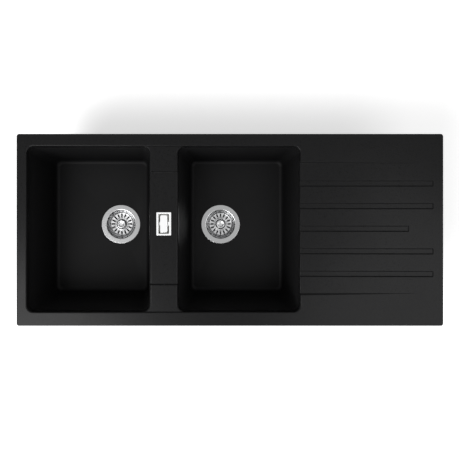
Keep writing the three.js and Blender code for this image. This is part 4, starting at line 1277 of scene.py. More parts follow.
    def landings(self) -> Solid:
        """The space over the tap landings, level with the bowls' end walls.

        Returns:
            The space above them.
        """
        z = falling(self.top + PAST, self.top - quarter(self.bowl_lip), self.landing)
        inset = self.lean(z) - edge(self.top - z, self.bowl_lip)
        reach = self.bowl_corner + self.divider_lip
        back = np.stack([self.back_wall - inset, z], axis=-1)
        front = np.stack([self.front_wall + inset, z], axis=-1)[::-1]
        section = np.concatenate([back, front])
        return prism(section, self.divider[0] - reach, self.divider[1] + reach, axis=0)

    def saddle_space(self) -> Solid:
        """The lower middle of the divider.

        Its cross-section is rounded over into both bowls; along Y it ramps down from the landings
        on half a cosine wave.

        Returns:
            The space above the saddle.
        """
        drop = quarter(self.divider_lip)
        share = np.linspace(0, 1, 13)[1:]
        run = np.concatenate([[-PAST / 2], share * self.saddle_ramp])
        top = np.concatenate([
            [self.landing + PAST / 2],
            self.landing - self.saddle_drop * (1 - np.cos(math.pi * share)) / 2,
        ])
        y = np.concatenate([
            self.back_wall - self.back_landing - run,
            (self.front_wall + self.front_landing + run)[::-1],
        ])
        top = np.concatenate([top, top[::-1]])[:, None]
        z = top - drop
        flare = edge(drop, self.divider_lip) - self.lean(z)
        left, right = self.divider[0] + flare, self.divider[1] - flare
        before = np.full_like(top, self.divider[0] - self.bowl_corner)
        after = np.full_like(top, self.divider[1] + self.bowl_corner)
        high, low = np.full_like(top, self.top + PAST), top - self.divider_lip
        x = np.hstack([before, before, left[:, ::-1], right, after, after])
        height = np.hstack([high, low, z[:, ::-1], z, low, high])
        return Solid.between(np.stack([x, y[:, None] + 0 * x, height], axis=-1))

    def field_space(self) -> Solid:
        """The space over the drainer's sloping field.

        Each cross-section along X is the field's straight fall with a rounded lip at the bowl. Its
        depth fades over the run of the side on half a cosine wave, and the run itself shrinks in
        even steps from the bowl to the far end, as a side of one slope does where it gets shallow.

        Returns:
            The space above the field.
        """
        near, far = self.field_x
        beyond = self.groove_pitch / 2
        rise = self.field_drop * beyond / (far - near)
        share = np.linspace(0, 1, 9)[1:]
        depth = (1 - np.cos(math.pi * share)) / 2
        run = np.append(-PAST / self.field_side, share)
        out = (1 - run) * self.field_side
        depth = np.append(run[0] / 2, depth)
        sides = [self.high[1] - self.field_back, self.low[1] + self.field_front]
        foot = np.repeat(sides, len(run))[:, None]
        out = np.concatenate([out, -out[::-1]])[:, None]
        depth = np.concatenate([depth, depth[::-1]])[:, None]
        lip = self.top - depth * self.field_drop
        drop = quarter(self.bowl_lip)
        z = lip - drop
        turn = near - self.lean(z) + edge(drop, self.bowl_lip)
        end, bowl = np.full_like(lip, far + beyond), np.full_like(lip, near - self.bowl_corner)
        x = np.hstack([end, end, turn, bowl, bowl])
        high, crest = np.full_like(lip, self.top + rise + PAST), np.full_like(lip, self.top + rise)
        height = np.hstack([high, crest, z, lip - self.bowl_lip, high])
        shrink = (1 - self.field_side_end) / (far + beyond - near)
        y = foot + out * (1 - shrink * (x - near))
        return Solid.between(np.stack([x, y, height], axis=-1))

    def groove(self, y: float, end: float) -> Solid:
        """One draining groove.

        Its half width at height h over its floor is half the floor plus the side's slope times h,
        rounded off at the foot and flared at the top by the edge formula. It follows the field,
        turns over into the bowl, and climbs out at its end at the slope of its sides.

        Args:
            y: its centre line.
            end: where it ends.

        Returns:
            The groove's space.
        """
        slope = (self.groove_width - self.groove_floor) / (2 * self.groove_depth)
        bend = quarter(self.groove_edge, 4)
        h = falling(bend, self.groove_depth - bend, self.groove_depth + PAST)[::-1]
        half = self.groove_floor / 2 + slope * np.minimum(h, self.groove_depth)
        half = half - edge(h, self.groove_edge) + edge(self.groove_depth - h, self.groove_edge)
        near, far = self.field_x
        lip = self.field_height(near) - self.groove_depth
        drop = quarter(self.bowl_lip)[::-1]
        turn_x = near - self.lean(lip - drop) + edge(drop, self.bowl_lip)
        run = slope * self.groove_depth
        x = [near - self.bowl_corner, *turn_x]
        floor = [lip - self.bowl_lip, *(lip - drop)]
        if far < end - run:
            x.append(far)
            floor.append(self.field_height(far) - self.groove_depth)
        tail = np.array([end - run, end, end + slope * PAST])
        x = np.array([*x, *tail])[:, None]
        climb = self.field_height(tail) + [-self.groove_depth, 0, PAST]
        floor = np.array([*floor, *climb])[:, None]
        across = np.concatenate([-half[::-1], half])
        height = np.concatenate([h[::-1], h])
        points = [x + 0 * across, y + across + 0 * x, floor + height]
        return Solid.between(np.stack(points, axis=-1))

    def lug(self, x: float, y: float) -> Solid:
        """The lug about one clip's insert, drafted on its sides.

        Args:
            x, y: centre of the clip's insert.

        Returns:
            The lug.
        """
        side = math.copysign(1, y)
        outer = side * (self.high[1] - self.cut_out_overlap - self.lug_gap)
        inner = y - side * self.lug_reach
        lean = np.array([self.tray_draft, 0])
        y0, y1 = min(outer, inner) + lean, max(outer, inner) - lean
        half = self.lug_width / 2
        z = (-self.lug_depth, PAST)
        return Solid.between(
            rounded_rings(x - half + lean, x + half - lean, y0, y1, self.lug_corner, z, steps=6)
        )

    def build(self, bench: Bench, clips: Sequence[Grid], overflow: Grid) -> None:
        """Combines the solids into the body and places it.

        Args:
            bench: that takes the piece.
            clips: centre of each clip's insert.
            overflow: centre of the overflow.
        """
        form = Form(self.rim_plate()).add(self.tray()).cut(self.hollow())
        form.add(*(self.shell(side) for side in Side))
        form.add(*(self.lug(x, y) for x, y, _ in clips))
        low, high = -self.lug_depth - PAST, self.insert_length - self.lug_depth
        insert = bar(self.insert_radius, low, high, sides=SCREW_SIDES)
        form.cut(*(insert.moved(x, y) for x, y, _ in clips))
        form.cut(*(self.bowl(side) for side in Side))
        form.cut(self.landings(), self.saddle_space(), self.field_space())
        order = np.arange(self.groove_count) - (self.groove_count - 1) / 2
        ends = np.where(order == 0, self.short_groove_end, self.groove_end)
        for step, inset in zip(order, ends):
            form.cut(self.groove(self.groove_offset + step * self.groove_pitch, self.high[0] - inset))
        below = -self.tray_depth - PAST
        middle = sum(self.divider) / 2
        blind = bar(self.tap_hole / 2, below, self.landing - self.tap_hole_skin)
        for y in (self.back_wall - self.tap_hole_inset, self.front_wall + self.tap_hole_inset):
            form.cut(blind.moved(middle, y))
        centre, half = overflow[:2], np.array(self.mouth) / 2
        form.cut(block([*(centre - half), below], [*(centre + half), self.saddle + PAST], corner=1))
        bench.place("sink_body", form.mesh(), "sink", COMPOSITE, sharp=28, even=True)


# ---------------------------------------------------------------- strainer wastes


@dataclass
class StrainerWaste:
    """One basket strainer waste: cup, seals, waste body, clamp screw and the lift-out basket.

    Heights are measured from the recess in the bowl's floor.
    """

    side: Side
    drain: Grid
    inlet: float | None = None  # direction of the overflow inlet in degrees, if it has one
    cup_mouth: float = 43.5  # radii
    cup_bottom: float = 34
    flange: float = 59
    sheet: float = 1.2
    flange_top: float = 2.8
    cup_floor: float = -28
    cup_bend: float = 3
    sump: float = 18
    sump_floor: float = -33
    sump_web: float = 5
    sump_windows: int = 4
    seal_inner: float = 47.5
    seal_inset: float = 2  # from the flange's edge
    seal_thickness: float = 1
    gasket_inner: float = 46.3
    gasket_outer: float = 55.5
    gasket_thickness: float = 3
    gasket_top: float = -8.3
    waste_top: float = -11.6
    waste_radius: float = 49
    waste_wall: float = 3
    waste_taper: float = 3
    waste_depth: float = 44
    waste_flange: float = 4
    flange_radius: float = 55.8
    funnel: float = 14
    outlet: float = 23
    outlet_wall: float = 3.5
    outlet_length: float = 30
    thread_core: float = 1.5  # how far the outlet's wall stands in from its thread's crests
    thread: tuple[float, float] = (1.4, 3.2)  # its depth and pitch
    boss: float = 7
    boss_height: float = 16
    screw: float = 3
    screw_head: float = 5
    slots: int = 16
    slot_inner: float = 20
    slot_outer: float = 33
    slot_width: float = 5
    basket_top: float = -11
    basket_dish: float = 5
    basket_sheet: float = 1.4
    hub_drop: float = 1
    hub_ring: float = 17
    hub_ring_width: float = 3
    hub_ring_height: float = 3
    stem: float = 7
    plug: float = 23
    plug_thickness: float = 2.5
    plug_seal_inner: float = 16
    plug_seal: float = 26
    plug_seal_thickness: float = 2
    knob: float = 12.5
    knob_height: float = 14
    knob_stem: float = 4.5
    knob_socket: float = 4
    knob_edge: float = 2
    knob_dish: float = 1.6
    inlet_depth: float = 29
    inlet_length: float = 27
    inlet_collar: float = 3
    spigot: float = 8.5
    spigot_bore: float = 6
    collar: float = 12

    @property
    def steel(self) -> Finish:
        """Brushed steel whose rings are centred on this drain."""
        x, y, z = self.drain * MM
        return TurnedSteel(side=self.side.value, centre=(x, y), recess=z)

    def cup(self) -> bpy.types.Mesh:
        """The pressed cup: a turned profile of one sheet thickness, with windows in its sump.

        Returns:
            The cup about its own axis.
        """
        mouth, low, sheet, top = self.cup_mouth, self.cup_bottom, self.sheet, self.flange_top
        floor, sump = self.cup_floor, self.sump_floor
        profile = softened([
            (self.flange, top - sheet, 0.1),
            (self.flange, top, 0.8),
            (mouth, top, self.cup_bend),
            (low, floor, self.cup_bend),
            (self.sump, floor, 1.2),
            (self.sump, sump, 1.0),
            (self.screw + CLEARANCE, sump, 0),
            (self.screw + CLEARANCE, sump - sheet, 0),
            (self.sump + sheet, sump - sheet, 1.6),
            (self.sump + sheet, floor - sheet, 0.4),
            (low + sheet / 2, floor - sheet, self.cup_bend),
            (mouth + sheet, top - sheet, self.cup_bend - sheet / 2),
        ], 8)
        form = Form(Solid.turned(profile))
        window, spread = self.window(), 360 / self.sump_windows
        form.cut(*(window.spun(i * spread) for i in range(self.sump_windows)))
        return form.mesh()

    def window(self) -> Solid:
        """The space of one sump window, a ring's sector with half a web left at either side.

        Returns:
            The space about the cup's axis.
        """
        spread = math.radians(360 / self.sump_windows)
        arcs = []
        for radius in (self.sump - self.sheet, self.boss + 1):
            web = self.sump_web / 2 / radius
            angle = web + (spread - 2 * web) * np.linspace(0, 1, 9)
            arcs.append(np.stack([radius * np.cos(angle), radius * np.sin(angle)], axis=-1))
        outline = np.concatenate([arcs[0], arcs[1][::-1]])
        low = self.sump_floor - self.sheet - PAST
        return prism(outline, low, self.sump_floor + PAST, axis=2)

    def basket(self) -> bpy.types.Mesh:
        """The basket: a turned dished plate with a hub ring, stem and plug, and radial slots.

        Returns:
            The basket about its own axis.
        """
        rim, sheet = self.basket_top, self.basket_sheet
        plate = rim - self.basket_dish
        hub = plate - self.hub_drop
        crest, width = self.hub_ring, self.hub_ring_width
        plug = self.cup_floor + 2 * CLEARANCE + self.plug_seal_thickness
        drop = self.flange_top - self.cup_floor - 2 * self.cup_bend
        fall = (self.cup_mouth - self.cup_bottom) / drop
        reach = self.cup_bottom + fall * (rim - sheet - self.cup_floor - self.cup_bend) - CLEARANCE
        profile = pressed([
            (0, hub, 0),
            (crest - width, hub, 1.2),
            (crest - width / 2, hub + self.hub_ring_height, 1.2),
            (crest + width / 2, hub + self.hub_ring_height, 1.2),
            (crest + width, hub + self.hub_drop / 2, 1.0),
            (self.slot_outer + 1, plate, 1.5),
            (reach - sheet, rim, 0.7),
            (reach, rim - sheet, 0.3),
            (self.slot_outer + 1 + sheet / 2, plate - sheet, 1.5),
            (crest + width, hub + self.hub_drop / 2 - sheet, 1.0),
            (self.stem, hub - sheet, 1.0),
            (self.stem, plug + self.plug_thickness, 1.0),
            (self.plug, plug + self.plug_thickness, 0.8),
            (self.plug, plug, 0.4),
            (0, plug, 0),
        ])
        form = Form(Solid.turned(profile))
        radius = self.slot_width / 2
        z = (plate - sheet - 2 * PAST, rim + PAST)
        near, far = self.slot_inner, self.slot_outer
        slot = Solid.between(rounded_rings(near, far, -radius, radius, radius * 0.98, z, steps=8))
        form.cut(bar(self.knob_stem, hub - self.knob_socket, plate + PAST))
        form.cut(*(slot.spun(360 * i / self.slots) for i in range(self.slots)))
        return form.mesh()

    def knob_mesh(self) -> bpy.types.Mesh:
        """The knob: a waisted stem that flares to a rounded, dished head.

        Returns:
            The knob about the basket's axis.
        """
        foot = self.basket_top - self.basket_dish - self.hub_drop + CLEARANCE
        top = foot + self.knob_height
        stem, head, roll = self.knob_stem, self.knob, self.knob_edge
        profile = pressed([
            (0, foot - self.knob_socket, 0),
            (stem - CLEARANCE, foot - self.knob_socket, 0.3),
            (stem - CLEARANCE, foot, 0),
            (stem + 1, foot, 0.4),
            (stem, foot + self.knob_height / 2 - 1, 3),
            (head, top - 2 * roll, 1.6),
            (head, top, 1.8),
            (head - 2 * roll, top, 2.2),
            (head / 2, top - self.knob_dish, 2.5),
            (0, top - self.knob_dish, 0),
        ], 8)
        return Form(Solid.turned(profile)).mesh()

    def waste(self) -> bpy.types.Mesh:
        """The moulded waste under the floor: a flanged pot, a funnel and a threaded outlet.

        Returns:
            The waste body about its own axis.
        """
        outer, wall, pipe = self.waste_radius, self.waste_wall, self.outlet
        bore, core = pipe - self.outlet_wall, pipe - self.thread_core
        taper, depth = self.waste_taper, -self.waste_depth
        funnel = depth - self.funnel
        end = funnel - self.outlet_length
        top = self.waste_top
        form = Form(Solid.turned(softened([
            (outer - wall, top, 0.4),
            (outer - wall - taper, depth, 4),
            (bore, funnel, 4),
            (bore, end, 0.4),
            (core, end, 0.3),
            (core, funnel - 4, 0.6),
            (pipe, funnel - 3, 0.5),
            (pipe, funnel - wall / 2, 3),
            (outer - taper, depth - wall, 5),
            (outer, top - self.waste_flange, 1),
            (self.flange_radius, top - self.waste_flange, 0.8),
            (self.flange_radius, top, 0.5),
        ])))
        thread = Form(threaded(pipe, *self.thread, end, funnel - 4, sides=72, steps=10))
        thread.cut(bar(bore + 0.2, end - PAST, funnel, sides=ROUND_SIDES))
        form.add(thread.solid())
        reach = outer - wall
        boss_top = self.sump_floor - self.sheet - CLEARANCE
        foot = boss_top - self.boss_height
        web = block([-reach, -wall / 2, foot], [reach, wall / 2, boss_top - wall])
        inside = Solid.turned(pressed([
            (0, top, 0),
            (reach + PAST, top, 0),
            (reach - taper + PAST, depth, 4),
            (bore + PAST, funnel, 4),
            (0, funnel, 0),
        ]))
        spider = Form(web).add(web.spun(90), bar(self.boss, foot, boss_top, 0.5)).keep(inside)
        form.add(spider.solid())
        form.cut(bar(self.screw + CLEARANCE, foot + wall, boss_top + PAST, sides=SCREW_SIDES))
        if self.inlet is not None:
            mouth = outer + self.inlet_length
            collar = bar(self.collar, reach, outer + self.inlet_collar, 0.6)
            form.add(self.to_inlet(hose_tail(self.spigot, reach, mouth)), self.to_inlet(collar))
            form.cut(self.to_inlet(bar(self.spigot_bore, reach - 2 * wall, mouth + PAST)))
        return form.mesh()

    def to_inlet(self, solid: Solid) -> Solid:
        """A solid made along Z, laid down along the overflow inlet."""
        return solid.laid().spun(self.inlet).moved(z=-self.inlet_depth)

    def clamp_screw(self) -> bpy.types.Mesh:
        """The screw that draws the waste up to the cup.

        Returns:
            The screw about the cup's axis.
        """
        screw = PanScrew(
            radius=self.screw, thread=(0.5, 1.0), head=self.screw_head, side=1.4, crown=2.4,
            height=3, rolls=(1.2, 2), neck=1, recess=(2.6, 0.5, 1.3, 4, 0.2),
        )
        tip = self.sump_floor - self.sheet - self.boss_height + self.waste_wall
        return screw.mesh(tip, self.sump_floor + CLEARANCE)

    def build(self, bench: Bench) -> None:
        """Places every piece of the waste.

        Args:
            bench: that takes the pieces.
        """
        at = at_point(*self.drain)
        side = self.side.value
        foot, top = self.gasket_top - self.gasket_thickness, self.gasket_top
        gasket = ring(self.gasket_inner, self.gasket_outer, foot, top, 0.7)
        foot, top = CLEARANCE, CLEARANCE + self.seal_thickness
        seal = ring(self.seal_inner, self.flange - self.seal_inset, foot, top, 0.3)
        foot = self.cup_floor + CLEARANCE
        top = foot + self.plug_seal_thickness
        plug_seal = ring(self.plug_seal_inner, self.plug_seal, foot, top, 0.6)
        basket = f"{side}_basket"
        pieces = [
            ("strainer_cup", self.cup(), "sink", self.steel, True),
            ("flange_seal", seal.mesh(), "sink", RUBBER, False),
            ("floor_gasket", gasket.mesh(), "sink", RUBBER, False),
            ("waste_body", self.waste(), "sink", WHITE_PLASTIC, True),
            ("clamp_screw", self.clamp_screw(), "sink", ZINC, False),
            ("basket", self.basket(), basket, POLISHED, True),
            ("basket_knob", self.knob_mesh(), basket, POLISHED, False),
            ("basket_seal", plug_seal.mesh(), basket, RUBBER, False),
        ]
        for name, mesh, body, finish, even in pieces:
            bench.place(f"{side}_{name}", mesh, body, finish, at, even=even)


# ---------------------------------------------------------------- overflow


@dataclass
class Overflow:
    """The overflow in the divider: frame, cover, screw, gasket and the housing below.

    Heights are measured from the top of the divider's middle.
    """

    centre: Grid
    frame: tuple[float, float] = (40, 63)
    frame_corner: float = 1.2
    frame_foot: float = 0.3
    frame_top: float = 2.8
    bevel: float = 0.6
    mouth: tuple[float, float] = (29, 54)
    mouth_corner: float = 1.0
    taper: float = 2
    skirt_depth: float = 14
    skirt_wall: float = 1.2
    skirt_corner: float = 1.5
    cover: tuple[float, float] = (19.5, 47)
    cover_corner: float = 3.6
    cover_top: float = 2.0
    cover_thickness: float = 2
    cover_foot: float = 0.3  # rounding of its lower edge
    leg: tuple[float, float] = (8, 1.6)
    bridge_width: float = 10
    bridge_top: float = -11
    screw: float = 2
    screw_end: float = -27.6
    gasket: tuple[float, float] = (-13.3, -11.3)
    inside: tuple[float, float] = (33, 58)
    box_corner: float = 3
    inside_corner: float = 1.5
    wall: float = 2.5
    flange: float = 4
    box_top: float = -13.6
    box_floor: float = -43.6
    funnel: float = 10
    boss: float = 5
    boss_depth: float = 16
    spigot: float = 8.5
    spigot_bore: float = 6
    spigot_length: float = 22

    @staticmethod
    def framed(
        size: Sequence[float], z: Numbers, corner: Numbers, grow: Numbers = 0.0, steps: int = 6
    ) -> Grid:
        """Rings of a rectangle about the overflow's centre, grown by a margin at each height."""
        x, y = (s / 2 + np.asarray(grow, float) for s in size)
        return rounded_rings(-x, x, -y, y, corner, z, steps=steps)

    def framed_solid(
        self, size: Sequence[float], z: Numbers, corner: Numbers, grow: Numbers = 0.0, steps: int = 6
    ) -> Solid:
        """The same rings as a solid."""
        return Solid.between(self.framed(size, z, corner, grow, steps))

    def frame_mesh(self) -> bpy.types.Mesh:
        """The frame: a flat rim with rounded edges, a tapering skirt and the screw's bridge.

        Returns:
            The frame about the overflow's centre.
        """
        top, foot = self.frame_top, -self.skirt_depth
        bevel = top - quarter(self.bevel, 4)
        z = falling(self.frame_foot, bevel)[::-1]
        inset = edge(top - z, self.bevel)
        form = Form(self.framed_solid(self.frame, z, self.frame_corner - inset / 2, -inset))
        grow = np.array([-self.taper, 0]) + self.skirt_wall
        z = (foot, self.frame_foot + PAST)
        form.add(self.framed_solid(self.mouth, z, self.skirt_corner, grow))
        z = np.concatenate([[foot - PAST], bevel[::-1], [top + PAST]])
        lean = -self.taper * np.clip((top - z) / (top + self.skirt_depth), 0, 1)
        grow = lean + edge(top - z, self.bevel)
        form.cut(self.framed_solid(self.mouth, z, self.mouth_corner, grow))
        half = self.mouth[0] / 2 - self.taper + self.skirt_wall / 2
        width = self.bridge_width / 2
        form.add(block([-half, -width, foot], [half, width, self.bridge_top]))
        hole = self.screw + CLEARANCE
        return form.cut(bar(hole, foot - PAST, self.bridge_top + PAST, sides=SCREW_SIDES)).mesh()

    def cover_mesh(self) -> bpy.types.Mesh:
        """The cover plate with the two legs that grip the bridge.

        Returns:
            The cover about the overflow's centre.
        """
        low = self.cover_top - self.cover_thickness
        foot = low + quarter(self.cover_foot, 2)
        z = falling(low, foot, self.cover_top - quarter(self.bevel, 5))[::-1]
        inset = edge(self.cover_top - z, self.bevel) + edge(z - low, self.cover_foot)
        corner = self.cover_corner - inset
        form = Form(self.framed_solid(self.cover, z, corner, -inset, steps=10))
        half, near = self.leg[0] / 2, self.bridge_width / 2 + CLEARANCE
        far, crest = near + self.leg[1], low + self.cover_thickness / 2
        leg = block([-half, near, -self.skirt_depth], [half, far, crest])
        return form.add(leg, leg.spun(180)).mesh()

    def housing_mesh(self) -> bpy.types.Mesh:
        """The housing: a flanged box whose floor funnels into the hose's spigot.

        Returns:
            The housing about the overflow's centre.
        """
        top, floor, wall = self.box_top, self.box_floor, self.wall
        foot = (self.spigot * 2, self.spigot * 2)
        funnel = floor + self.funnel
        outer = np.concatenate([
            self.framed(foot, floor, self.spigot, wall),
            self.framed(self.inside, (funnel, top), self.box_corner, wall),
        ])
        form = Form(Solid.between(outer))
        z, grow = (top - wall, top), wall + self.flange
        form.add(self.framed_solid(self.inside, z, self.box_corner, grow))
        bore = (self.spigot_bore * 2, self.spigot_bore * 2)
        inner = np.concatenate([
            self.framed(bore, floor + wall, self.spigot_bore * 0.9),
            self.framed(self.inside, (funnel + wall, top + PAST), self.inside_corner),
        ])
        form.cut(Solid.between(inner))
        low, high = top - self.boss_depth, -self.skirt_depth - CLEARANCE
        reach = self.inside[0] / 2 + PAST
        form.add(bar(self.boss, low, high, 0.4))
        form.add(block([-reach, -wall / 2, low], [reach, wall / 2, top - self.flange]))
        end = floor - self.spigot_length
        form.add(hose_tail(self.spigot, floor + PAST, end))
        form.cut(bar(self.spigot_bore, end - PAST, floor + wall + PAST))
        form.cut(bar(self.screw + CLEARANCE, low - PAST, high + PAST, sides=SCREW_SIDES))
        return form.mesh()

    def gasket_mesh(self) -> bpy.types.Mesh:
        """The flat gasket between the divider and the housing.

        Returns:
            The gasket about the overflow's centre.
        """
        low, high = self.gasket
        grow = self.wall + self.flange
        form = Form(self.framed_solid(self.inside, (low, high), self.box_corner, grow))
        hole = self.framed_solid(self.inside, (low - PAST, high + PAST), 1, self.wall / 2)
        return form.cut(hole).mesh()

    def screw_mesh(self) -> bpy.types.Mesh:
        """The screw through the bridge."""
        screw = PanScrew(
            radius=self.screw, thread=(0.4, 0.8), head=4, side=1, crown=1.8,
            height=2.4, rolls=(0.8, 1.5), neck=0.5, recess=(2, 0.4, 1.1, 3, 0.15),
        )
        return screw.mesh(self.screw_end, self.bridge_top + CLEARANCE)

    def build(self, bench: Bench) -> None:
        """Places every piece of the overflow.

        Args:
            bench: that takes the pieces.
        """
        at = at_point(*self.centre)
        pieces = [
            ("overflow_frame", self.frame_mesh(), CHROME),
            ("overflow_cover", self.cover_mesh(), CHROME),
            ("overflow_screw", self.screw_mesh(), ZINC),
            ("overflow_gasket", self.gasket_mesh(), RUBBER),
            ("overflow_housing", self.housing_mesh(), WHITE_PLASTIC),
        ]
        for name, mesh, finish in pieces:
            bench.place(name, mesh, "sink", finish, at, even=True)


# ---------------------------------------------------------------- overflow hose


@dataclass
class OverflowHose:
    """The ribbed hose from the overflow to the right waste, with a clip at each end."""

    top: Grid  # centre of its upper end
    drain: Grid  # right drain's centre, at the height of the waste's inlet
    bore: float = 8.9
    valley: float = 10.3
    crest: float = 12
    pitch: float = 4.4
    bend: float = 48
    cuff: float = 20
    sides: int = 32
    rib_steps: int = 10  # rings for each rib
    bore_rings: int = 40
    chamfer: tuple[float, float] = (0.4, 0.3)  # length and depth at the cuffs' ends
    waste_radius: float = 49
    collar: float = 3
    stop: float = 2
    band_width: float = 9
    band_gap: float = 0.3
    band_sheet: float = 1
    band_housing: float = 6
    band_length: float = 14
    band_screw: float = 3.2
    slit_turns: tuple[float, float, float] = (-84, 30, 12)  # first, end and step in degrees
    slit_width: float = 1.1

    def __post_init__(self) -> None:
        """Works out the run of the hose: down, round a quarter bend, and level to the inlet."""
        flat = self.drain[:2] - self.top[:2]
        self.span = float(np.linalg.norm(flat))
        self.level = np.array([*(flat / self.span), 0])
        self.fall = float(self.top[2] - self.drain[2] - self.bend)
        self.arc = self.bend * math.pi / 2
        self.end = self.span - self.waste_radius - self.collar - self.stop
        self.length = self.fall + self.arc + self.end - self.bend

    def centre_line(self, at: Grid) -> tuple[Grid, Grid]:
        """Points and directions of the hose at distances along it.

        Down by the fall, then the circle of the bend at angle (at - fall) / bend, then level.

        Args:
            at: distances from the upper end.

        Returns:
            Centres and unit directions, each (n, 3).
        """
        down = np.array([0.0, 0.0, -1.0])
        angle = np.clip((at - self.fall) / self.bend, 0, math.pi / 2)[:, None]
        straight = np.minimum(at, self.fall)[:, None]
        beyond = np.maximum(at - self.fall - self.arc, 0)[:, None]
        out = self.bend * (1 - np.cos(angle)) + beyond
        centre = self.top + down * (straight + self.bend * np.sin(angle)) + self.level * out
        return centre, down * np.cos(angle) + self.level * np.sin(angle)

    def hose_mesh(self) -> bpy.types.Mesh:
        """The hose wall as one closed surface.

        Its outer radius is valley + (crest - valley) x a rounded wave of the distance over the
        pitch between two plain cuffs, and its bore is plain.

        Returns:
            The hose in its place.
        """
        ribs = math.floor((self.length - 2 * self.cuff) / self.pitch)
        start = (self.length - ribs * self.pitch) / 2
        ribbed = np.linspace(start, self.length - start, ribs * self.rib_steps + 1)
        run, depth = self.chamfer
        at = np.concatenate([[0, run], ribbed, [self.length - run, self.length]])
        wave = (1 - np.cos(2 * math.pi * (at - start) / self.pitch)) / 2
        wave = np.where((at >= start) & (at <= self.length - start), wave**0.7, 0)
        outer = self.valley + (self.crest - self.valley) * wave
        outer[[0, -1]] -= depth
        inner = np.full(self.bore_rings, self.bore)
        places = np.concatenate([at, np.linspace(self.length, 0, self.bore_rings)])
        reach = np.concatenate([outer, inner])[:, None, None]
        centre, along = self.centre_line(places)
        sideways = np.cross(self.level, [0.0, 0.0, -1.0])
        across = np.cross(along, sideways)
        angle = round_angles(self.sides)[None, :, None]
        spoke = sideways * np.cos(angle) + across[:, None] * np.sin(angle)
        rings = centre[:, None] + reach * spoke
        return Form(Solid.between(rings, closed=True)).mesh()

    def band_mesh(self) -> bpy.types.Mesh:
        """A worm-drive clip about Z: a perforated band, its housing and its slotted screw.

        Returns:
            The clip, from its lower edge up.
        """
        inner = self.valley + self.band_gap
        outer = inner + self.band_sheet
        form = Form(ring(inner, outer, 0, self.band_width, 0.3, FITTING_SIDES))
        half = self.band_length / 2
        top = inner + self.band_housing
        low, high = self.band_sheet, self.band_width - self.band_sheet
        form.add(block([-half, outer - 0.5, low], [half, top, high], 0.4))
        wide, foot, crest = self.slit_width / 2, self.band_width * 0.3, self.band_width * 0.7
        slit = block([outer - 0.55, -wide, foot], [outer + 2, wide, crest], 0.1)
        places = np.arange(*self.slit_turns)
        form.cut(*(slit.spun(angle) for angle in (*places, *(180 - places))))
        axis = top - self.band_screw * 2 / 3
        shaft = bar(self.band_screw, -half - 4, half + 1, 0.4, SCREW_SIDES).laid()
        hexagon = bar(self.band_screw + 0.9, -half - 4, -half - 1, 0.2, HEX_SIDES).laid()
        middle = self.band_width / 2
        form.add(shaft.moved(0, axis, middle), hexagon.moved(0, axis, middle))
        low, high = [-half - 5, axis - 0.5, middle - 5], [-half - 3, axis + 0.5, middle + 5]
        return form.cut(block(low, high, 0.1)).mesh()

    def build(self, bench: Bench) -> None:
        """Places the hose and its two clips.

        Args:
            bench: that takes the pieces.
        """
        bench.place("overflow_hose", self.hose_mesh(), "sink", HOSE_PLASTIC, sharp=60)
        band = self.band_mesh()
        x, y, z = self.top
        upper = at_point(x, y, z - (self.cuff + self.band_width) / 2)
        bench.place("upper_hose_clip", band.copy(), "sink", ZINC, upper)
        mid = self.waste_radius + self.collar + self.stop + (self.cuff - self.band_width) / 2
        turn = Vector((0, 0, 1)).rotation_difference(Vector(-self.level)).to_matrix().to_4x4()
        lower = at_point(*(self.drain - self.level * mid)) @ turn
        bench.place("lower_hose_clip", band, "sink", ZINC, lower)


# ---------------------------------------------------------------- worktop clips


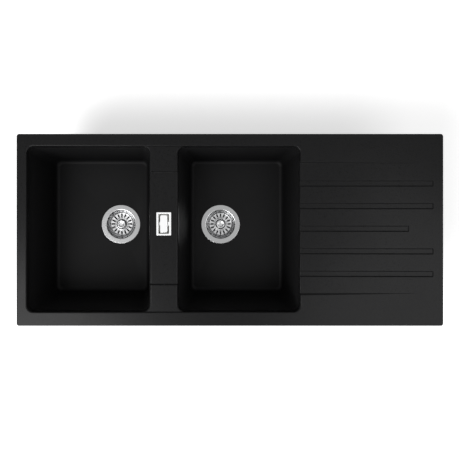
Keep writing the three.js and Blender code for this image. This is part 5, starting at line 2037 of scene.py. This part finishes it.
@dataclass
class WorktopClip:
    """A clip that holds the sink down: a bent claw, its screw and the insert in the lug."""

    lug_depth: float = 20
    claw_foot: float = -44.3
    width: float = 12
    sheet: float = 2
    heel: float = 6.6
    toe: float = 19
    lip: float = 6
    bend: float = 1.5
    notch: float = 1.6  # width of the notches between the toe's teeth
    notch_depth: float = 1.2
    screw: float = 2.5
    thread: tuple[float, float] = (0.42, 1.0)  # its depth and pitch
    head: float = 4.5
    head_height: float = 3
    insert: float = 4
    insert_bore: float = 2.8
    insert_length: float = 13
    insert_ribs: int = 16
    insert_rib: float = 0.18  # half the depth between two ribs
    insert_sides: int = 96

    def claw(self) -> bpy.types.Mesh:
        """The claw: a strip bent to a U, its heel under the lug and its toe under the worktop.

        Returns:
            The claw about its screw's axis.
        """
        foot, sheet, bend = self.claw_foot, self.sheet, self.bend
        heel, toe = -self.heel, self.toe
        top = -self.lug_depth - CLEARANCE
        outline = softened([
            (heel, foot, bend * 1.6),
            (toe, foot, bend * 1.6),
            (toe, foot + self.lip, 0.5),
            (toe - sheet, foot + self.lip, 0.5),
            (toe - sheet, foot + sheet, bend * 0.6),
            (heel + sheet, foot + sheet, bend * 0.6),
            (heel + sheet, top, 0.3),
            (heel, top, 0.3),
        ], 5)
        form = Form(prism(outline, -self.width / 2, self.width / 2))
        form.cut(bar(self.screw + CLEARANCE, foot - PAST, foot + sheet + PAST, sides=SCREW_SIDES))
        crest = foot + self.lip
        near, far, low, high = toe - sheet - PAST, toe + PAST, crest - self.notch_depth, crest + PAST
        notch = np.array([[near, high], [far, high], [far, low], [near, low]])
        for y in (-self.width / 4, self.width / 4):
            form.cut(prism(notch, y - self.notch / 2, y + self.notch / 2))
        return form.mesh()

    def screw_mesh(self) -> bpy.types.Mesh:
        """The screw: a long thread with a crossed hexagon head below the claw.

        Returns:
            The screw about Z.
        """
        under = self.claw_foot - CLEARANCE
        form = Form(bar(self.head, under - self.head_height, under - 0.6, 0.5, HEX_SIDES))
        form.add(bar(self.head + 0.2, under - 0.7, under, 0.1, FITTING_SIDES))
        end = self.insert_length - self.lug_depth - CLEARANCE
        form.add(threaded(self.screw, *self.thread, under - 0.5, end, sides=16))
        return form.cut(*cross(2.4, 0.45, under - 4, under - 1.6, 0.15)).mesh()

    def insert_mesh(self) -> bpy.types.Mesh:
        """The ribbed insert moulded into the lug.

        Returns:
            The insert about Z.
        """
        angle = round_angles(self.insert_sides)
        z = np.array([-self.lug_depth, self.insert_length - self.lug_depth])[:, None]
        reach = self.insert - self.insert_rib * (1 - np.cos(self.insert_ribs * angle)) + 0 * z
        form = Form(Solid.between(about_axis(reach, angle, z)))
        hole = bar(self.insert_bore, -self.lug_depth - PAST, PAST, sides=SCREW_SIDES)
        return form.cut(hole).mesh()

    def build(self, bench: Bench, clips: Sequence[Grid]) -> None:
        """Places a claw, a screw and an insert at each clip.

        Args:
            bench: that takes the pieces.
            clips: centre of each clip's insert, the back ones first.
        """
        claw, screw, insert = self.claw(), self.screw_mesh(), self.insert_mesh()
        for number, (x, y, _) in enumerate(clips, 1):
            at = at_point(x, y, 0) @ Matrix.Rotation(math.copysign(math.pi / 2, y), 4, "Z")
            name = f"clip_claw_{number}"
            bench.place(name, claw.copy(), name, ZINC, at)
            bench.place(f"clip_screw_{number}", screw.copy(), "sink", ZINC, at)
            bench.place(f"clip_insert_{number}", insert.copy(), "sink", NYLON, at)
        for spare in (claw, screw, insert):
            bpy.data.meshes.remove(spare)


# ---------------------------------------------------------------- studio


WHITE = (1, 1, 1, 1)


@dataclass
class Studio:
    """Camera, lamps, floor and background."""

    rim_top: float  # metres
    floor_height: float
    image: float = 460  # pixels
    pixels_per_metre: float = 368.3  # at the rim
    centre: tuple[float, float] = (229.9, 229.9)  # pixel of the outline's centre
    nadir: tuple[float, float] = (218.0, 198.0)  # pixel straight below the camera
    distance: float = 1.54
    sensor: float = 36
    light_level: float = 0.28  # of the world, on the object
    floor_size: float = 6.0  # from the centre to a side
    floor_grey: float = 0.80
    floor_glow: float = 0.55

    def camera(self) -> None:
        """A camera that looks straight down; its shift frames the sink as the photograph does."""
        data = bpy.data.cameras.new("camera")
        data.sensor_width = self.sensor
        data.lens = self.sensor * self.distance * self.pixels_per_metre / self.image
        data.shift_x = (self.image / 2 - self.nadir[0]) / self.image
        data.shift_y = (self.nadir[1] - self.image / 2) / self.image
        data.clip_start, data.clip_end = 0.02, 50
        camera = put("camera", data)
        camera.location = (
            (self.nadir[0] - self.centre[0]) / self.pixels_per_metre,
            (self.centre[1] - self.nadir[1]) / self.pixels_per_metre,
            self.rim_top + self.distance,
        )
        bpy.context.scene.camera = camera

    @staticmethod
    def lamp(
        name: str, place: Sequence[float], aim: Sequence[float], size: float, power: float
    ) -> None:
        """A square soft box.

        Args:
            name: of the lamp.
            place: in metres.
            aim: the point that it faces.
            size: of its side in metres.
            power: in watts.
        """
        data = bpy.data.lights.new(name, "AREA")
        data.shape = "RECTANGLE"
        data.size = data.size_y = size
        data.energy = power
        lamp = put(name, data)
        lamp.location = place
        lamp.rotation_euler = (Vector(aim) - Vector(place)).to_track_quat("-Z", "Y").to_euler()

    def background(self) -> None:
        """A white world for what the camera and polished metal see, a dimmer one for the light."""
        world = bpy.data.worlds.new("studio")
        bpy.context.scene.world = world
        graph = Graph(world)
        seen = self.seen(graph)
        white, light = (
            graph.node("ShaderNodeBackground", sockets={"Color": WHITE, "Strength": strength})
            for strength in (1.0, self.light_level)
        )
        shader = graph.node("ShaderNodeMixShader", sockets={0: seen, 1: light, 2: white})
        graph.node("ShaderNodeOutputWorld", sockets={"Surface": shader})

    @staticmethod
    def seen(graph: Graph) -> Wire:
        """1 for rays from the camera, from gloss and through glass, else 0.

        Args:
            graph: of the world or of a material.

        Returns:
            The mask.
        """
        path = graph.node("ShaderNodeLightPath").socket.node
        camera, glossy, through = (
            Wire(graph, path.outputs[name])
            for name in ("Is Camera Ray", "Is Glossy Ray", "Is Transmission Ray")
        )
        return camera.maximum(glossy).maximum(through)

    def floor(self) -> None:
        """A pale floor that adds to its own light where it is seen, so that its shadow stays."""
        mesh = bpy.data.meshes.new("floor")
        size, z = self.floor_size, self.floor_height
        corners = [(-size, -size, z), (size, -size, z), (size, size, z), (-size, size, z)]
        mesh.from_pydata(corners, [], [(0, 1, 2, 3)])
        floor = put("floor", mesh)
        material = bpy.data.materials.new("floor")
        graph = Graph(material)
        grey = (*[self.floor_grey] * 3, 1)
        plain = graph.node("ShaderNodeBsdfDiffuse", sockets={"Color": grey})
        glow = graph.node("ShaderNodeEmission", sockets={"Color": WHITE, "Strength": self.floor_glow})
        bright = graph.node("ShaderNodeAddShader", sockets={0: plain, 1: glow})
        shader = graph.node("ShaderNodeMixShader", sockets={0: self.seen(graph), 1: plain, 2: bright})
        graph.node("ShaderNodeOutputMaterial", sockets={"Surface": shader})
        mesh.materials.append(material)
        floor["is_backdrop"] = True

    def build(self) -> None:
        """Sets up the camera, the lamps, the background and the floor."""
        self.camera()
        self.lamp("front_left", (-1.34, -1.28, 2.3), (-0.2, -0.1, 0), 1.6, 85)
        self.lamp("front_right", (1.3, -0.7, 2.3), (0.2, -0.1, 0), 1.5, 21)
        self.background()
        self.floor()
        bpy.context.scene.view_settings.view_transform = "Standard"


# ---------------------------------------------------------------- everything in order


def plain(corners: Sequence[Vector]) -> list[list[float]]:
    """Corners as plain lists of numbers."""
    return [[float(v) for v in corner] for corner in corners]


def main() -> None:
    """Loads the frame, builds the sub-assemblies in order and sets up the studio."""
    logging.basicConfig(level=logging.INFO, format="%(message)s")
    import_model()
    cad_box = plain(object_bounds())
    bench = Bench()

    drains = {}
    for side in Side:
        seal = f"{side.value}_flange_seal"
        drains[side] = np.array([*node_centre(seal)[:2], node_box(seal)[0][2] - CLEARANCE])
    top = node_box("overflow_frame")[1][2] - Overflow.frame_top
    overflow = np.array([*node_centre("overflow_frame")[:2], top])
    clips = [node_centre(f"clip_insert_{number}") for number in range(1, CLIPS + 1)]

    SinkBody(*node_box("sink_body"), drains=drains).build(bench, clips, overflow)
    towards = overflow - drains[Side.RIGHT]
    inlet = math.degrees(math.atan2(towards[1], towards[0]))
    StrainerWaste(Side.LEFT, drains[Side.LEFT]).build(bench)
    right = StrainerWaste(Side.RIGHT, drains[Side.RIGHT], inlet=inlet)
    right.build(bench)
    opening = Overflow(overflow)
    opening.build(bench)
    hose_top = overflow + np.array([0, 0, opening.box_floor - OverflowHose.stop])
    hose_end = drains[Side.RIGHT] - np.array([0, 0, right.inlet_depth])
    OverflowHose(hose_top, hose_end).build(bench)
    WorktopClip().build(bench, clips)
    log.info("%d pieces, %d triangles", bench.count, bench.triangles)

    cad_low, cad_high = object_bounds()
    Studio(rim_top=float(cad_high[2]), floor_height=float(cad_low[2])).build()
    {"cad": cad_box, "visual": plain(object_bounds())}


if __name__ == "__main__":
    main()
